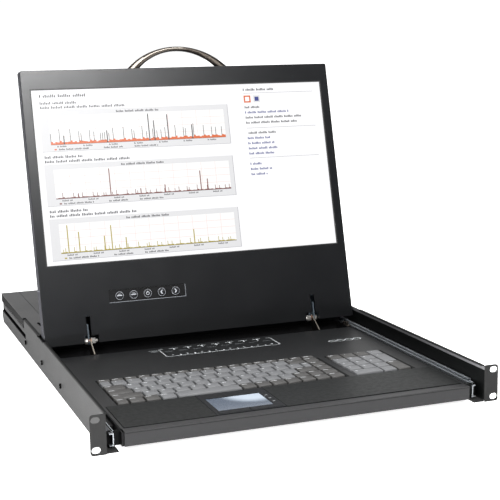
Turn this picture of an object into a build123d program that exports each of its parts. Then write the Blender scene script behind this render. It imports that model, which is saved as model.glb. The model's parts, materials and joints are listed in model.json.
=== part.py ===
from build123d import *

import os
from math import cos, radians, sin

# One-unit console drawer: two side rails with rack ears carry a tray on three-part
# ball slides, and a screen lid hinges on the tray's rear. Millimetres, X to the right,
# Y to the back, Z up. The origin is the centre of the rack slots on the ears' front.

# Rack interface and side rails
unit_height = 43.0
ear_width = 477.0
ear_corner_radius = 3.0
rack_slot_pitch_x = 465.1
rack_slot_pitch_z = 31.75
rack_slot_length = 9.5
rack_slot_height = 7.0
rail_width = 446.0
rail_length = 656.0
rail_upper_length = 641.0
sheet = 1.5
bend_radius = 1.2
bend_relief = 3.0
top_lip_width = 4.2
top_lip_end = 465.0
bottom_lip_width = 11.0
lip_chamfer = 5.0
lip_gap_start = 325.0
lip_gap_length = 43.0
rail_rear_height = 30.0
bracket_slot_start = 453.5
bracket_slot_width = 7.0
bracket_slot_height = 19.3
rail_tail_chamfer = 8.0
overrun = 5.0
running_gap = 0.3

# Ball slides
slide_height = 18.8
slide_depth = 10.1
slide_length = 450.0
slide_start = 31.0
middle_start = 20.0
inner_start = 11.0
slide_wall = 1.0
outer_flange_depth = 4.5
inner_height = 13.6
inner_flange_depth = 4.4
ball_diameter = 2.0
ball_facet = 0.58
race_depth = 0.3
race_clearance = 0.1
head_width = 2.4
neck_height = 6.0
cage_sheet = 0.4
cage_gap = 0.8
cage_length = 160.0
cage_start = 160.0
cage_balls = 3
slide_screw_start = 221.0
slide_screw_pitch = 115.7
slide_screw_count = 3
slide_screw_radius = 1.8
slide_screw_head_radius = 2.8
screw_taper = 45.0
slide_screw_rise = 2.6
fit_gap = 0.05
screw_sides = 12
button_sides = 24

# Tray
tray_width = 408.8
tray_front = 5.0
tray_rear = 366.0
tray_wall = 1.2
tray_bottom = 4.5
bezel_width = 404.0
bezel_front = 2.0
bezel_strip_depth = 12.2
bezel_fillet = 1.0
deck_drop = 22.5
deck_rear = 321.0
deck_lip_height = 7.0
deck_edge_gap = 0.3
spacer_start = 40.0
spacer_length = 300.0
spacer_height = 11.0
palm_thickness = 0.8
palm_width = 399.0
palm_rear = 93.0
palm_chamfer = 0.3

# Keyboard and keypad
key_pitch = 18.5
function_row_depth = 10.0
keyboard_left = -185.5
keyboard_front = 96.0
keypad_left = 105.5
key_gap = 1.3
key_clearance = 0.7
key_cap_height = 3.0
key_proud = 1.6
key_chamfer = 0.5
stem_size = 3.6
stem_length = 3.8
key_plate_drop = 2.2
key_plate_margin = 4.0
function_key_count = 17
main_row_count = 5
keypad_columns = 4
# Widths of the number row's keys as shares of the key pitch, from the left
number_shares = [0.75] + [1] * 12 + [1.25, 1]

# Touchpad
touch_width = 63.0
touch_depth = 45.5
touch_left = -90.7
touch_front = 28.5
touch_recess = 0.3
touch_glass = 0.9
touch_module_depth = 5.0
touch_board_margin = 3.0
touch_module_left = -97.0
touch_module_width = 80.0
touch_module_front = 15.6
touch_button_depth = 9.0
touch_button_margin = 1.6
touch_button_height = 3.4
touch_button_proud = 0.3

# Lid, screen and hinge
lid_tilt = 14.05
pin_y = 348.8
pin_z = 10.5
pin_depth = 7.2
pin_rise = 2.9
pin_radius = 2.5
hinge_x = 158.5
hinge_leaf = 1.5
hinge_eye_radius = 5.0
washer_thickness = 0.6
nut_radius = 4.25
inner_nut_length = 8.5
outer_nut_length = 4.0
arm_front = 322.0
arm_foot_length = 20.0
arm_foot_width = 13.0
arm_top_drop = 10.9
leaf_rise = 22.0
leaf_setback = 2.2
leaf_flange_width = 14.0
leaf_flange_rise = 34.0
hinge_slot_width = 6.0
hinge_slot_rise = 32.0
barrel_cut_rise = 7.5
lid_width = 435.0
lid_height = 361.0
lid_thickness = 18.0
lid_corner_radius = 3.0
front_shell_depth = 10.0
cover_sheet = 1.2
lid_edge_chamfer = 0.6
screen_width = 409.8
screen_height = 230.4
top_bezel = 26.2
panel_side_rim = 10.3
panel_end_rim = 12.1
panel_module_depth = 9.0
panel_recess = 0.3
cover_screw_radius = 2.5
cover_screw_height = 0.6

# Menu buttons on the lid
menu_width = 103.8
menu_height = 15.8
menu_centre_x = -75.5
menu_drop = 46.3
menu_recess = 0.8
menu_flange = 2.0
menu_pitch = 19.2
menu_button_radius = 5.5
menu_button_proud = 0.3
menu_button_length = 3.4
menu_plunger_radius = 1.5
menu_plunger_length = 0.8
button_board_depth = 5.2
board_thickness = 1.6

# Boards inside the lid
display_board_width = 140.0
display_board_height = 58.0
display_board_left = -20.0
display_board_rise = 22.0
display_board_depth = 12.0
standoff_size = 5.0
chip_size = 14.0
chip_height = 1.6

# Pull handle
handle_outer_span = 145.0
handle_outer_rise = 30.4
handle_inner_span = 110.6
handle_inner_rise = 24.0
handle_depth = 9.0
handle_chamfer = 2.0
handle_screw_head_radius = 3.6

# Switch housing at the rear
housing_front_gap = 2.5
housing_overhang = 2.0
housing_step_gap = 7.0
housing_side_gap = 2.2
housing_wall = 1.2
cover_overhang = 2.0
cover_side_gap = 0.5
cover_step_gap = 9.0
skirt_height = 12.0
cover_seam_x = 196.5
cover_seam_gap = 9.0
cover_seam_width = 0.8
cover_seam_depth = 0.4
cover_slot_x = 208.0
cover_slot_setback = 59.5
cover_slot_length = 20.0
cover_slot_width = 4.0
housing_screw_pitch = 100.0
housing_screw_setback = 88.0
switch_board_width = 260.0
switch_board_depth = 170.0
switch_board_right = 205.0
switch_board_rise = 6.0
port_count = 8
port_pitch = 31.5
port_width = 16.3
port_height = 8.3
port_shell_corner = 2.6
port_shell_angle = 80.0
port_stickout = 6.0
port_block_depth = 12.0
port_block_height = 12.5
jack_post_radius = 2.4
jack_post_pitch = 25.0
jack_post_length = 5.0
port_first_x = -30.0
port_rise = 18.0
supply_width = 92.0
supply_step_gap = 4.0
supply_height = 28.0
supply_left = -212.0
inlet_x = -165.0
inlet_width = 27.0
inlet_height = 20.0
inlet_depth = 18.0
inlet_flange_width = 48.0
inlet_flange_height = 26.0
inlet_flange_thickness = 2.0
inlet_cavity_depth = 15.0
inlet_wall = 1.8
inlet_pin_width = 4.0
inlet_pin_height = 2.0
inlet_pin_pitch = 7.0
inlet_pin_length = 9.0

# Places that follow from the sizes above
half_height = unit_height / 2
rail_x = rail_width / 2
rail_inner_x = rail_x - sheet
lip_floor_z = sheet - half_height
slide_z = lip_floor_z + slide_height / 2
slide_web_x = rail_inner_x - slide_wall
inner_web_x = rail_inner_x - slide_depth + slide_wall
tray_x = tray_width / 2
tray_floor_z = tray_bottom - half_height
tray_inside_z = tray_floor_z + tray_wall
deck_z = half_height - deck_drop
deck_under_z = deck_z - tray_wall
palm_z = deck_z + palm_thickness
key_top_z = deck_z + key_proud
key_under_z = key_top_z - key_cap_height
key_plate_z = key_under_z - key_plate_drop
main_rows_depth = main_row_count * key_pitch
housing_front = tray_rear + housing_front_gap
housing_rear = rail_length + housing_overhang
housing_step = slide_start + slide_length + housing_step_gap
cover_rear = housing_rear + cover_overhang
cover_step = top_lip_end + cover_step_gap
cover_slot_y = housing_front + cover_slot_setback
keyboard_rear = keyboard_front + main_rows_depth + function_row_depth
keyboard_width = sum(number_shares) * key_pitch
keypad_width = keypad_columns * key_pitch

pin_point = Vector(0, pin_y, pin_z)
lid_up = Vector(0, sin(radians(lid_tilt)), cos(radians(lid_tilt)))
lid_out = Vector(0, -cos(radians(lid_tilt)), sin(radians(lid_tilt)))
lid_face = Plane(origin=pin_point + lid_out * pin_depth, x_dir=(1, 0, 0), z_dir=lid_out)
lid_bottom = -pin_rise
lid_top = lid_bottom + lid_height
lid_middle = (lid_bottom + lid_top) / 2
screen_middle = lid_top - top_bezel - screen_height / 2
screen_bottom = screen_middle - screen_height / 2
back_inside = lid_thickness - cover_sheet
menu_middle = screen_bottom - menu_drop
menu_offsets = [menu_pitch * (i - 2) for i in range(5)]


def lid_at(depth):
    """Plane parallel to the lid's front face, this far behind it."""
    return lid_face.offset(-depth)


def save(part, name):
    """Label one finished piece and write it."""
    part.label = name
    export_step(part, f"parts/{name}.step")


def save_pair(right, name):
    """Write a right-hand piece and its mirror image on the left."""
    save(right, f"{name}_right")
    with BuildPart() as left:
        mirror(right, about=Plane.YZ)
    save(left.part, f"{name}_left")


def cut_box(x_range, y_range, z_range):
    """Take a box between these limits out of the part being built."""
    size = [high - low for low, high in (x_range, y_range, z_range)]
    middle = tuple((high + low) / 2 for low, high in (x_range, y_range, z_range))
    with Locations(middle):
        Box(*size, mode=Mode.SUBTRACT)


def add_box(x_range, y_range, z_range):
    """Add a box between these limits to the part being built."""
    size = [high - low for low, high in (x_range, y_range, z_range)]
    middle = tuple((high + low) / 2 for low, high in (x_range, y_range, z_range))
    with Locations(middle):
        Box(*size)


os.makedirs("parts", exist_ok=True)

# Side rail: a folded channel whose web carries the slide, with the rack ear bent outwards
top_lip_x = rail_x - top_lip_width
bottom_lip_x = rail_x - bottom_lip_width
slot_z = lip_floor_z + bracket_slot_height
tail_z = slot_z - bracket_slot_width / 2
screw_z = slide_z + slide_screw_rise
screw_head_depth = slide_screw_head_radius - slide_screw_radius
screw_places = [(slide_screw_start + i * slide_screw_pitch, screw_z) for i in range(slide_screw_count)]

with BuildPart() as rail:
    with BuildSketch(Plane.XZ) as channel:
        with BuildLine():
            Polyline(
                (top_lip_x, half_height),
                (rail_x, half_height),
                (rail_x, -half_height),
                (bottom_lip_x, -half_height),
                (bottom_lip_x, lip_floor_z),
                (rail_inner_x, lip_floor_z),
                (rail_inner_x, half_height - sheet),
                (top_lip_x, half_height - sheet),
                close=True,
            )
        make_face()
        fillet(channel.vertices().group_by(Axis.X)[-1], bend_radius)
    extrude(amount=-rail_length)
    with BuildSketch(Plane.XZ) as ear:
        with Locations(((rail_inner_x + ear_width / 2) / 2, 0)):
            Rectangle(ear_width / 2 - rail_inner_x, unit_height)
        fillet(ear.vertices().group_by(Axis.X)[-1], ear_corner_radius)
        with Locations((rack_slot_pitch_x / 2, 0)):
            with GridLocations(rack_slot_pitch_x, rack_slot_pitch_z, 1, 2):
                SlotOverall(rack_slot_length, rack_slot_height, mode=Mode.SUBTRACT)
    extrude(amount=-sheet)
    above = half_height + overrun
    lip_x = (bottom_lip_x - overrun, rail_x + overrun)
    relief = (sheet, sheet + bend_relief)
    cut_box(lip_x, relief, (-above, lip_floor_z))
    cut_box(lip_x, relief, (half_height - sheet, above))
    cut_box((bottom_lip_x - overrun, rail_inner_x), (-overrun, sheet), (-above, above))
    cut_box(lip_x, (lip_gap_start, lip_gap_start + lip_gap_length), (half_height - sheet, above))
    front_corner = rail.edges().filter_by(Axis.Z).group_by(Axis.X)[0].sort_by(Axis.Y)[0]
    chamfer(front_corner, lip_chamfer)
    with BuildSketch(Plane.YZ.offset(bottom_lip_x - overrun)):
        with BuildLine():
            Polyline(
                (0, -half_height),
                (rail_length - rail_tail_chamfer, -half_height),
                (rail_length, rail_tail_chamfer - half_height),
                (rail_length, tail_z),
                (rail_upper_length, tail_z),
                (rail_upper_length, rail_rear_height - half_height),
                (top_lip_end, rail_rear_height - half_height),
                (top_lip_end, half_height),
                (0, half_height),
                close=True,
            )
        make_face()
    extrude(amount=ear_width / 2, mode=Mode.INTERSECT)
    with BuildSketch(Plane.YZ.offset(rail_inner_x - overrun)):
        slot_reach = rail_length + overrun - bracket_slot_start
        with Locations((bracket_slot_start + slot_reach / 2, slot_z)):
            SlotOverall(slot_reach, bracket_slot_width)
    extrude(amount=sheet + 2 * overrun, mode=Mode.SUBTRACT)
    with BuildSketch(Plane.YZ.offset(rail_x)):
        with Locations(*screw_places):
            RegularPolygon(slide_screw_head_radius + fit_gap, screw_sides)
    extrude(amount=-screw_head_depth, taper=screw_taper, mode=Mode.SUBTRACT)
    with BuildSketch(Plane.YZ.offset(rail_inner_x)):
        with Locations(*screw_places):
            RegularPolygon(slide_screw_radius + fit_gap, screw_sides)
    extrude(amount=sheet, mode=Mode.SUBTRACT)
save_pair(rail.part, "side_rail")

# Slide profiles: an outer channel on the rail, an inner channel on the tray, and a
# middle member with one head in each, all with ball races rolled along their length
ball_radius = ball_diameter / 2
race_radius = ball_radius + race_clearance
outer_race_z = slide_height / 2 - slide_wall - ball_radius + race_depth
inner_race_z = inner_height / 2 - slide_wall - ball_radius + race_depth
outer_head_x = slide_web_x - cage_gap - head_width / 2
inner_head_x = inner_web_x + cage_gap + head_width / 2
outer_head_height = 2 * (outer_race_z - ball_radius + race_depth)
inner_head_height = 2 * (inner_race_z - ball_radius + race_depth)


def cut_races(x, z):
    """Cut the upper and lower ball races into the sketch being built."""
    with Locations((x, slide_z + z), (x, slide_z - z)):
        Circle(race_radius, mode=Mode.SUBTRACT)


with BuildPart() as outer_member:
    with BuildSketch(Plane.XZ.offset(-slide_start)):
        with Locations((rail_inner_x - outer_flange_depth / 2, slide_z)):
            Rectangle(outer_flange_depth, slide_height)
        with Locations((rail_inner_x - slide_wall - outer_flange_depth / 2, slide_z)):
            Rectangle(outer_flange_depth, slide_height - 2 * slide_wall, mode=Mode.SUBTRACT)
        cut_races(outer_head_x, outer_race_z)
    extrude(amount=-slide_length)
    with BuildSketch(Plane.YZ.offset(slide_web_x)):
        with Locations(*screw_places):
            RegularPolygon(slide_screw_radius + fit_gap, screw_sides)
    extrude(amount=slide_wall, mode=Mode.SUBTRACT)
save_pair(outer_member.part, "slide_outer")

with BuildPart() as inner_member:
    with BuildSketch(Plane.XZ.offset(-inner_start)):
        with Locations((inner_web_x - slide_wall + inner_flange_depth / 2, slide_z)):
            Rectangle(inner_flange_depth, inner_height)
        with Locations((inner_web_x + inner_flange_depth / 2, slide_z)):
            Rectangle(inner_flange_depth, inner_height - 2 * slide_wall, mode=Mode.SUBTRACT)
        cut_races(inner_head_x, inner_race_z)
    extrude(amount=-slide_length)
save_pair(inner_member.part, "slide_inner")

with BuildPart() as middle_member:
    with BuildSketch(Plane.XZ.offset(-middle_start)):
        with Locations((outer_head_x, slide_z)):
            Rectangle(head_width, outer_head_height)
        with Locations((inner_head_x, slide_z)):
            Rectangle(head_width, inner_head_height)
        with Locations(((outer_head_x + inner_head_x) / 2, slide_z)):
            Rectangle(outer_head_x - inner_head_x, neck_height)
        cut_races(outer_head_x, outer_race_z)
        cut_races(inner_head_x, inner_race_z)
    extrude(amount=-slide_length)
save_pair(middle_member.part, "slide_middle")


# Faceted ball for the retainers
with BuildPart() as ball:
    Box(ball_diameter, ball_diameter, ball_diameter)
    chamfer(ball.edges(), ball_facet)


def ball_cage(head_x, web_x, race_z):
    """Ball retainer of one stage: a thin folded strip with balls along both edges."""
    reach = abs(head_x - web_x) + ball_radius / 2
    towards_head = 1 if head_x > web_x else -1
    with BuildPart() as cage:
        with BuildSketch(Plane.XZ.offset(-cage_start)):
            with Locations((web_x, slide_z)):
                Rectangle(cage_sheet, 2 * race_z + cage_sheet)
            with Locations((web_x + towards_head * reach / 2, slide_z)):
                with GridLocations(0, 2 * race_z, 1, 2):
                    Rectangle(reach, cage_sheet)
        extrude(amount=-cage_length)
        pitch = cage_length / cage_balls
        for i in range(cage_balls):
            for z in (slide_z + race_z, slide_z - race_z):
                with Locations((head_x, cage_start + pitch * (i + 1 / 2), z)):
                    add(ball.part)
    return cage.part


outer_cage_web = slide_web_x - cage_gap / 2
inner_cage_web = inner_web_x + cage_gap / 2
save_pair(ball_cage(outer_head_x, outer_cage_web, outer_race_z), "ball_cage_outer")
save_pair(ball_cage(inner_head_x, inner_cage_web, inner_race_z), "ball_cage_inner")

# Countersunk screws from outside each rail into the slide's web
with BuildPart() as slide_screws:
    for side in (-1, 1):
        for y, z in screw_places:
            flat = Plane(origin=(side * rail_x, y, z), z_dir=(-side, 0, 0))
            with BuildSketch(flat):
                RegularPolygon(slide_screw_radius, screw_sides)
            extrude(amount=sheet + slide_wall)
            with BuildSketch(flat):
                RegularPolygon(slide_screw_head_radius, screw_sides)
            extrude(amount=screw_head_depth, taper=screw_taper)
save(slide_screws.part, "slide_screws")

# Tray pan
with BuildPart() as pan:
    add_box((-tray_x, tray_x), (tray_front, tray_rear), (tray_floor_z, deck_under_z))
    cut_box(
        (tray_wall - tray_x, tray_x - tray_wall),
        (tray_front + tray_wall, tray_rear - tray_wall),
        (tray_inside_z, deck_under_z + overrun),
    )
save(pan.part, "tray_pan")

# Spacer channels between the pan's walls and the slides' inner members
spacer_width = inner_web_x - slide_wall - tray_x
with BuildPart() as spacer:
    with BuildSketch(Plane.XZ.offset(-spacer_start)):
        with Locations((tray_x + spacer_width / 2, slide_z)):
            Rectangle(spacer_width, spacer_height)
        with Locations((tray_x + spacer_width / 2, slide_z - tray_wall)):
            Rectangle(spacer_width - 2 * tray_wall, spacer_height, mode=Mode.SUBTRACT)
    extrude(amount=-spacer_length)
save_pair(spacer.part, "slide_spacer")

# Front bezel: an angle with a rounded nose
with BuildPart() as bezel:
    with BuildSketch(Plane.YZ.offset(-bezel_width / 2)) as nose:
        with BuildLine():
            Polyline(
                (bezel_front, tray_floor_z),
                (bezel_front, deck_z),
                (bezel_front + bezel_strip_depth, deck_z),
                (bezel_front + bezel_strip_depth, deck_under_z),
                (tray_front, deck_under_z),
                (tray_front, tray_floor_z),
                close=True,
            )
        make_face()
        fillet(nose.vertices().group_by(Axis.Y)[0], bezel_fillet)
    extrude(amount=bezel_width)
save(bezel.part, "front_bezel")

# Deck plate with the keyboard, keypad and touchpad openings
touch_module_right = touch_module_left + touch_module_width
deck_front = bezel_front + bezel_strip_depth + deck_edge_gap
plate_cut = (deck_under_z - overrun, deck_z + overrun)
touch_open_x = (touch_module_left + touch_board_margin, touch_module_right - touch_board_margin)
touch_open_y = (touch_module_front + touch_button_margin, palm_rear - touch_board_margin)
with BuildPart() as deck:
    add_box((-tray_x, tray_x), (deck_front, deck_rear), (deck_under_z, deck_z))
    add_box(
        (tray_wall - tray_x, tray_x - tray_wall),
        (deck_rear - tray_wall, deck_rear),
        (deck_z - deck_lip_height, deck_z),
    )
    cut_box(
        (keyboard_left - key_clearance, keyboard_left + keyboard_width + key_clearance),
        (keyboard_front - key_clearance, keyboard_rear + key_clearance),
        plate_cut,
    )
    cut_box(
        (keypad_left - key_clearance, keypad_left + keypad_width + key_clearance),
        (keyboard_front - key_clearance, keyboard_front + main_rows_depth + key_clearance),
        plate_cut,
    )
    cut_box(touch_open_x, touch_open_y, plate_cut)
save(deck.part, "deck_plate")

# Palm rests: thin panels either side of the touchpad
palm_front = deck_front + deck_edge_gap
with BuildPart() as palms:
    add_box((-palm_width / 2, touch_module_left - deck_edge_gap), (palm_front, palm_rear), (deck_z, palm_z))
    add_box((touch_module_right + deck_edge_gap, palm_width / 2), (palm_front, palm_rear), (deck_z, palm_z))
    chamfer(palms.faces().group_by(Axis.Z)[-1].edges(), palm_chamfer)
save(palms.part, "palm_rests")

# Touchpad: frame, sensor with its glass, and two buttons in front
touch_right = touch_left + touch_width
touch_rear = touch_front + touch_depth
touch_top_z = palm_z - touch_recess
sensor_top_z = deck_z
button_rear = touch_module_front + touch_button_margin + touch_button_depth
button_x = (touch_open_x[0], (touch_open_x[0] + touch_open_x[1]) / 2, touch_open_x[1])
with BuildPart() as touch_frame:
    add_box((touch_module_left, touch_module_right), (touch_module_front, palm_rear), (deck_z, palm_z))
    chamfer(touch_frame.faces().sort_by(Axis.Z)[-1].edges(), palm_chamfer)
    cut_box(
        (touch_left - running_gap, touch_right + running_gap),
        (touch_front - running_gap, touch_rear + running_gap),
        plate_cut,
    )
    cut_box((button_x[0], button_x[2]), (touch_open_y[0], button_rear), plate_cut)
save(touch_frame.part, "touchpad_frame")

with BuildPart() as touch_pad:
    add_box((touch_left, touch_right), (touch_front, touch_rear), (sensor_top_z - touch_glass, touch_top_z))
    module_x = (touch_left - touch_board_margin / 2, touch_right + touch_board_margin)
    module_y = (touch_front - running_gap, touch_rear + touch_board_margin)
    add_box(module_x, module_y, (sensor_top_z - touch_module_depth, sensor_top_z))
    add_box(
        module_x,
        (touch_open_y[0], touch_front),
        (sensor_top_z - touch_module_depth, sensor_top_z - touch_module_depth + board_thickness),
    )
save(touch_pad.part, "touchpad_surface")

for name, left, right in (("left", button_x[0], button_x[1]), ("right", button_x[1], button_x[2])):
    with BuildPart() as touch_button:
        button_top_z = palm_z + touch_button_proud
        add_box(
            (left + running_gap, right - running_gap),
            (touch_open_y[0] + running_gap, button_rear - running_gap),
            (button_top_z - touch_button_height, button_top_z),
        )
        chamfer(touch_button.faces().sort_by(Axis.Z)[-1].edges(), palm_chamfer)
    save(touch_button.part, f"touchpad_button_{name}")

# Keys, row by row. Widths are shares of the key unit, from the left.
row_shares = {
    "bottom": [0.8, 1, 1, 1, 4.2, 1, 1, 1, 1, 1, 1, 1],
    "lower": [2] + [1] * 13,
    "home": [1.6] + [1] * 11 + [1.4, 1],
    "upper": [1.4] + [1] * 12 + [0.6, 1],
    "number": number_shares,
}
space_index = 4
function_shares = [keyboard_width / key_pitch / function_key_count] * function_key_count
# Keypad keys: column, row, width and depth, as shares of the key unit
keypad_shares = [(column, row, 1, 1) for row in (1, 2, 3) for column in (0, 1, 2)]
keypad_shares += [(0, 0, 2, 1), (2, 0, 1, 1), (3, 0, 1, 2), (3, 2, 1, 2)]
keypad_shares += [(column, 4, 1, 1) for column in range(keypad_columns)]


def row_keys(shares, front, depth):
    """Key rectangles of one row: centre x, centre y, width and depth."""
    keys = []
    left = keyboard_left
    for share in shares:
        width = share * key_pitch
        keys.append((left + width / 2, front + depth / 2, width, depth))
        left += width
    return keys


def key_group(keys):
    """Key caps with chamfered tops on square stems."""
    with BuildPart() as group:
        with BuildSketch(Plane.XY.offset(key_under_z)):
            for x, y, width, depth in keys:
                with Locations((x, y)):
                    Rectangle(width - key_gap, depth - key_gap)
        extrude(amount=key_cap_height)
        chamfer(group.faces().group_by(Axis.Z)[-1].edges(), key_chamfer)
        with BuildSketch(Plane.XY.offset(key_under_z)):
            for x, y, width, depth in keys:
                with Locations((x, y)):
                    Rectangle(stem_size, stem_size)
        extrude(amount=-stem_length)
    return group.part


main_keys = []
for index, (name, shares) in enumerate(row_shares.items()):
    keys = row_keys(shares, keyboard_front + index * key_pitch, key_pitch)
    main_keys += keys
    if name == "bottom":
        save(key_group([keys.pop(space_index)]), "space_bar")
    save(key_group(keys), f"key_row_{name}")
function_keys = row_keys(function_shares, keyboard_front + main_rows_depth, function_row_depth)
save(key_group(function_keys), "key_row_function")
keypad_keys = []
for column, row, wide, deep in keypad_shares:
    x = keypad_left + (column + wide / 2) * key_pitch
    y = keyboard_front + (row + deep / 2) * key_pitch
    keypad_keys.append((x, y, wide * key_pitch, deep * key_pitch))
save(key_group(keypad_keys), "keypad_keys")
main_keys += function_keys

# Keyboard base: a folded plate on the pan's floor that guides the key stems
plate_left = keyboard_left - key_plate_margin
plate_right = keypad_left + keypad_width + key_plate_margin
plate_front = keyboard_front - key_plate_margin
plate_rear = keyboard_rear + key_plate_margin
with BuildPart() as key_base:
    add_box((plate_left, plate_right), (plate_front, plate_rear), (tray_inside_z, key_plate_z))
    cut_box(
        (plate_left - overrun, plate_right + overrun),
        (plate_front + tray_wall, plate_rear - tray_wall),
        (tray_inside_z - overrun, key_plate_z - tray_wall),
    )
    guide = stem_size + 2 * running_gap
    rows = sorted({key[1] for key in main_keys})
    columns = sorted({key[0] for key in keypad_keys})
    with BuildSketch(Plane.XY.offset(key_plate_z + overrun)):
        for y in rows:
            stems = [key[0] for key in main_keys if key[1] == y]
            with Locations(((min(stems) + max(stems)) / 2, y)):
                Rectangle(max(stems) - min(stems) + guide, guide)
        for x in columns:
            stems = [key[1] for key in keypad_keys if key[0] == x]
            with Locations((x, (min(stems) + max(stems)) / 2)):
                Rectangle(guide, max(stems) - min(stems) + guide)
    extrude(amount=-2 * overrun, mode=Mode.SUBTRACT)
save(key_base.part, "keyboard_base")


def board(width, depth, thickness, post_length, chips):
    """Circuit board centred on its plane, with posts behind it and chips in front."""
    corner_x = width - 2 * standoff_size
    corner_y = depth - 2 * standoff_size
    Box(width, depth, thickness, align=(Align.CENTER, Align.CENTER, Align.MIN))
    with GridLocations(corner_x, corner_y, 2, 2):
        Box(standoff_size, standoff_size, post_length, align=(Align.CENTER, Align.CENTER, Align.MAX))
    with Locations((0, 0, thickness)):
        with GridLocations(2 * chip_size, 2 * chip_size, chips, 1):
            Box(chip_size, chip_size, chip_height, align=(Align.CENTER, Align.CENTER, Align.MIN))


controller_width = 110.0
controller_depth = 50.0
controller_y = 262.0
controller_post = 4.0
with BuildPart(Plane((0, controller_y, tray_inside_z + controller_post))) as controller:
    board(controller_width, controller_depth, board_thickness, controller_post, 3)
save(controller.part, "keyboard_controller")

# Hinge: an arm on the tray and a leaf in the lid turn on one bolt, with washers and a nut
arm_x = hinge_x - running_gap / 2 - hinge_leaf
leaf_x = arm_x + hinge_leaf + washer_thickness
with BuildPart() as arm:
    arm_height = pin_z - arm_top_drop - tray_inside_z
    with BuildSketch(Plane.YZ.offset(arm_x)):
        with Locations((pin_y, pin_z)):
            Circle(hinge_eye_radius)
        with Locations((arm_front + arm_foot_length / 2, tray_inside_z + arm_height / 2)):
            Rectangle(arm_foot_length, arm_height)
        make_hull()
        with Locations((pin_y, pin_z)):
            Circle(pin_radius + fit_gap, mode=Mode.SUBTRACT)
    extrude(amount=hinge_leaf)
    add_box(
        (arm_x, arm_x + arm_foot_width),
        (arm_front, arm_front + arm_foot_length),
        (tray_inside_z, tray_inside_z + hinge_leaf),
    )
save_pair(arm.part, "hinge_arm")

side_plane = Plane(origin=(leaf_x, pin_y, pin_z), x_dir=lid_up, z_dir=(1, 0, 0))
leaf_back = pin_depth - back_inside
leaf_front = pin_depth - leaf_setback
with BuildPart() as leaf:
    with BuildSketch(side_plane):
        Circle(hinge_eye_radius)
        with Locations((leaf_rise / 2, (leaf_back + leaf_front) / 2)):
            Rectangle(leaf_rise, leaf_front - leaf_back)
        Circle(pin_radius + fit_gap, mode=Mode.SUBTRACT)
    extrude(amount=hinge_leaf)
    with BuildSketch(side_plane):
        with Locations((leaf_flange_rise / 2, leaf_back + hinge_leaf / 2)):
            Rectangle(leaf_flange_rise, hinge_leaf)
    extrude(amount=leaf_flange_width)
save_pair(leaf.part, "lid_leaf")

outer_nut_x = leaf_x + hinge_leaf + washer_thickness
with BuildPart() as bolt:
    with BuildSketch(Plane.YZ.offset(arm_x - 2 * washer_thickness - inner_nut_length)):
        with Locations((pin_y, pin_z)):
            RegularPolygon(nut_radius, 6)
    extrude(amount=inner_nut_length)
    for start, length, radius in (
        (arm_x - 2 * washer_thickness, 2 * washer_thickness, hinge_eye_radius - running_gap),
        (arm_x + hinge_leaf, washer_thickness, hinge_eye_radius - running_gap),
        (outer_nut_x - washer_thickness, washer_thickness, hinge_eye_radius - running_gap),
    ):
        with BuildSketch(Plane.YZ.offset(start)):
            with Locations((pin_y, pin_z)):
                RegularPolygon(radius, screw_sides)
        extrude(amount=length)
    with BuildSketch(Plane.YZ.offset(outer_nut_x)):
        with Locations((pin_y, pin_z)):
            RegularPolygon(nut_radius, 6)
    extrude(amount=outer_nut_length)
    with BuildSketch(Plane.YZ.offset(arm_x)):
        with Locations((pin_y, pin_z)):
            Circle(pin_radius)
    extrude(amount=outer_nut_x - arm_x)
save_pair(bolt.part, "hinge_bolt")

# Lid front panel: a shallow shell with the screen window, menu recess and hinge cut-outs
barrel_inner = arm_x - 2 * washer_thickness - inner_nut_length - washer_thickness
barrel_outer = outer_nut_x + outer_nut_length + washer_thickness


def lid_rectangle(x_range, y_range):
    """Rectangle between these limits, in the sketch being built."""
    with Locations(((x_range[0] + x_range[1]) / 2, (y_range[0] + y_range[1]) / 2)):
        Rectangle(x_range[1] - x_range[0], y_range[1] - y_range[0])


with BuildPart() as front_panel:
    with BuildSketch(lid_at(front_shell_depth)):
        with Locations((0, lid_middle)):
            RectangleRounded(lid_width, lid_height, lid_corner_radius)
    extrude(amount=front_shell_depth)
    chamfer(front_panel.faces().sort_by(Axis.Y)[0].edges(), lid_edge_chamfer)
    with BuildSketch(lid_at(front_shell_depth)):
        with Locations((0, lid_middle)):
            RectangleRounded(lid_width - 2 * sheet, lid_height - 2 * sheet, lid_corner_radius - sheet)
    extrude(amount=front_shell_depth - sheet, mode=Mode.SUBTRACT)
    with BuildSketch(lid_at(front_shell_depth)):
        with Locations((0, screen_middle)):
            Rectangle(screen_width, screen_height)
        with Locations((menu_centre_x, menu_middle)):
            Rectangle(menu_width, menu_height)
        for side in (-1, 1):
            slot_x = side * (arm_x + leaf_x + hinge_leaf) / 2
            slot_range = (slot_x - hinge_slot_width / 2, slot_x + hinge_slot_width / 2)
            barrel_range = sorted((side * barrel_inner, side * barrel_outer))
            lid_rectangle(slot_range, (lid_bottom - overrun, hinge_slot_rise))
            lid_rectangle(barrel_range, (lid_bottom - overrun, barrel_cut_rise))
    extrude(amount=front_shell_depth + overrun, mode=Mode.SUBTRACT)
save(front_panel.part, "lid_front_panel")

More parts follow.
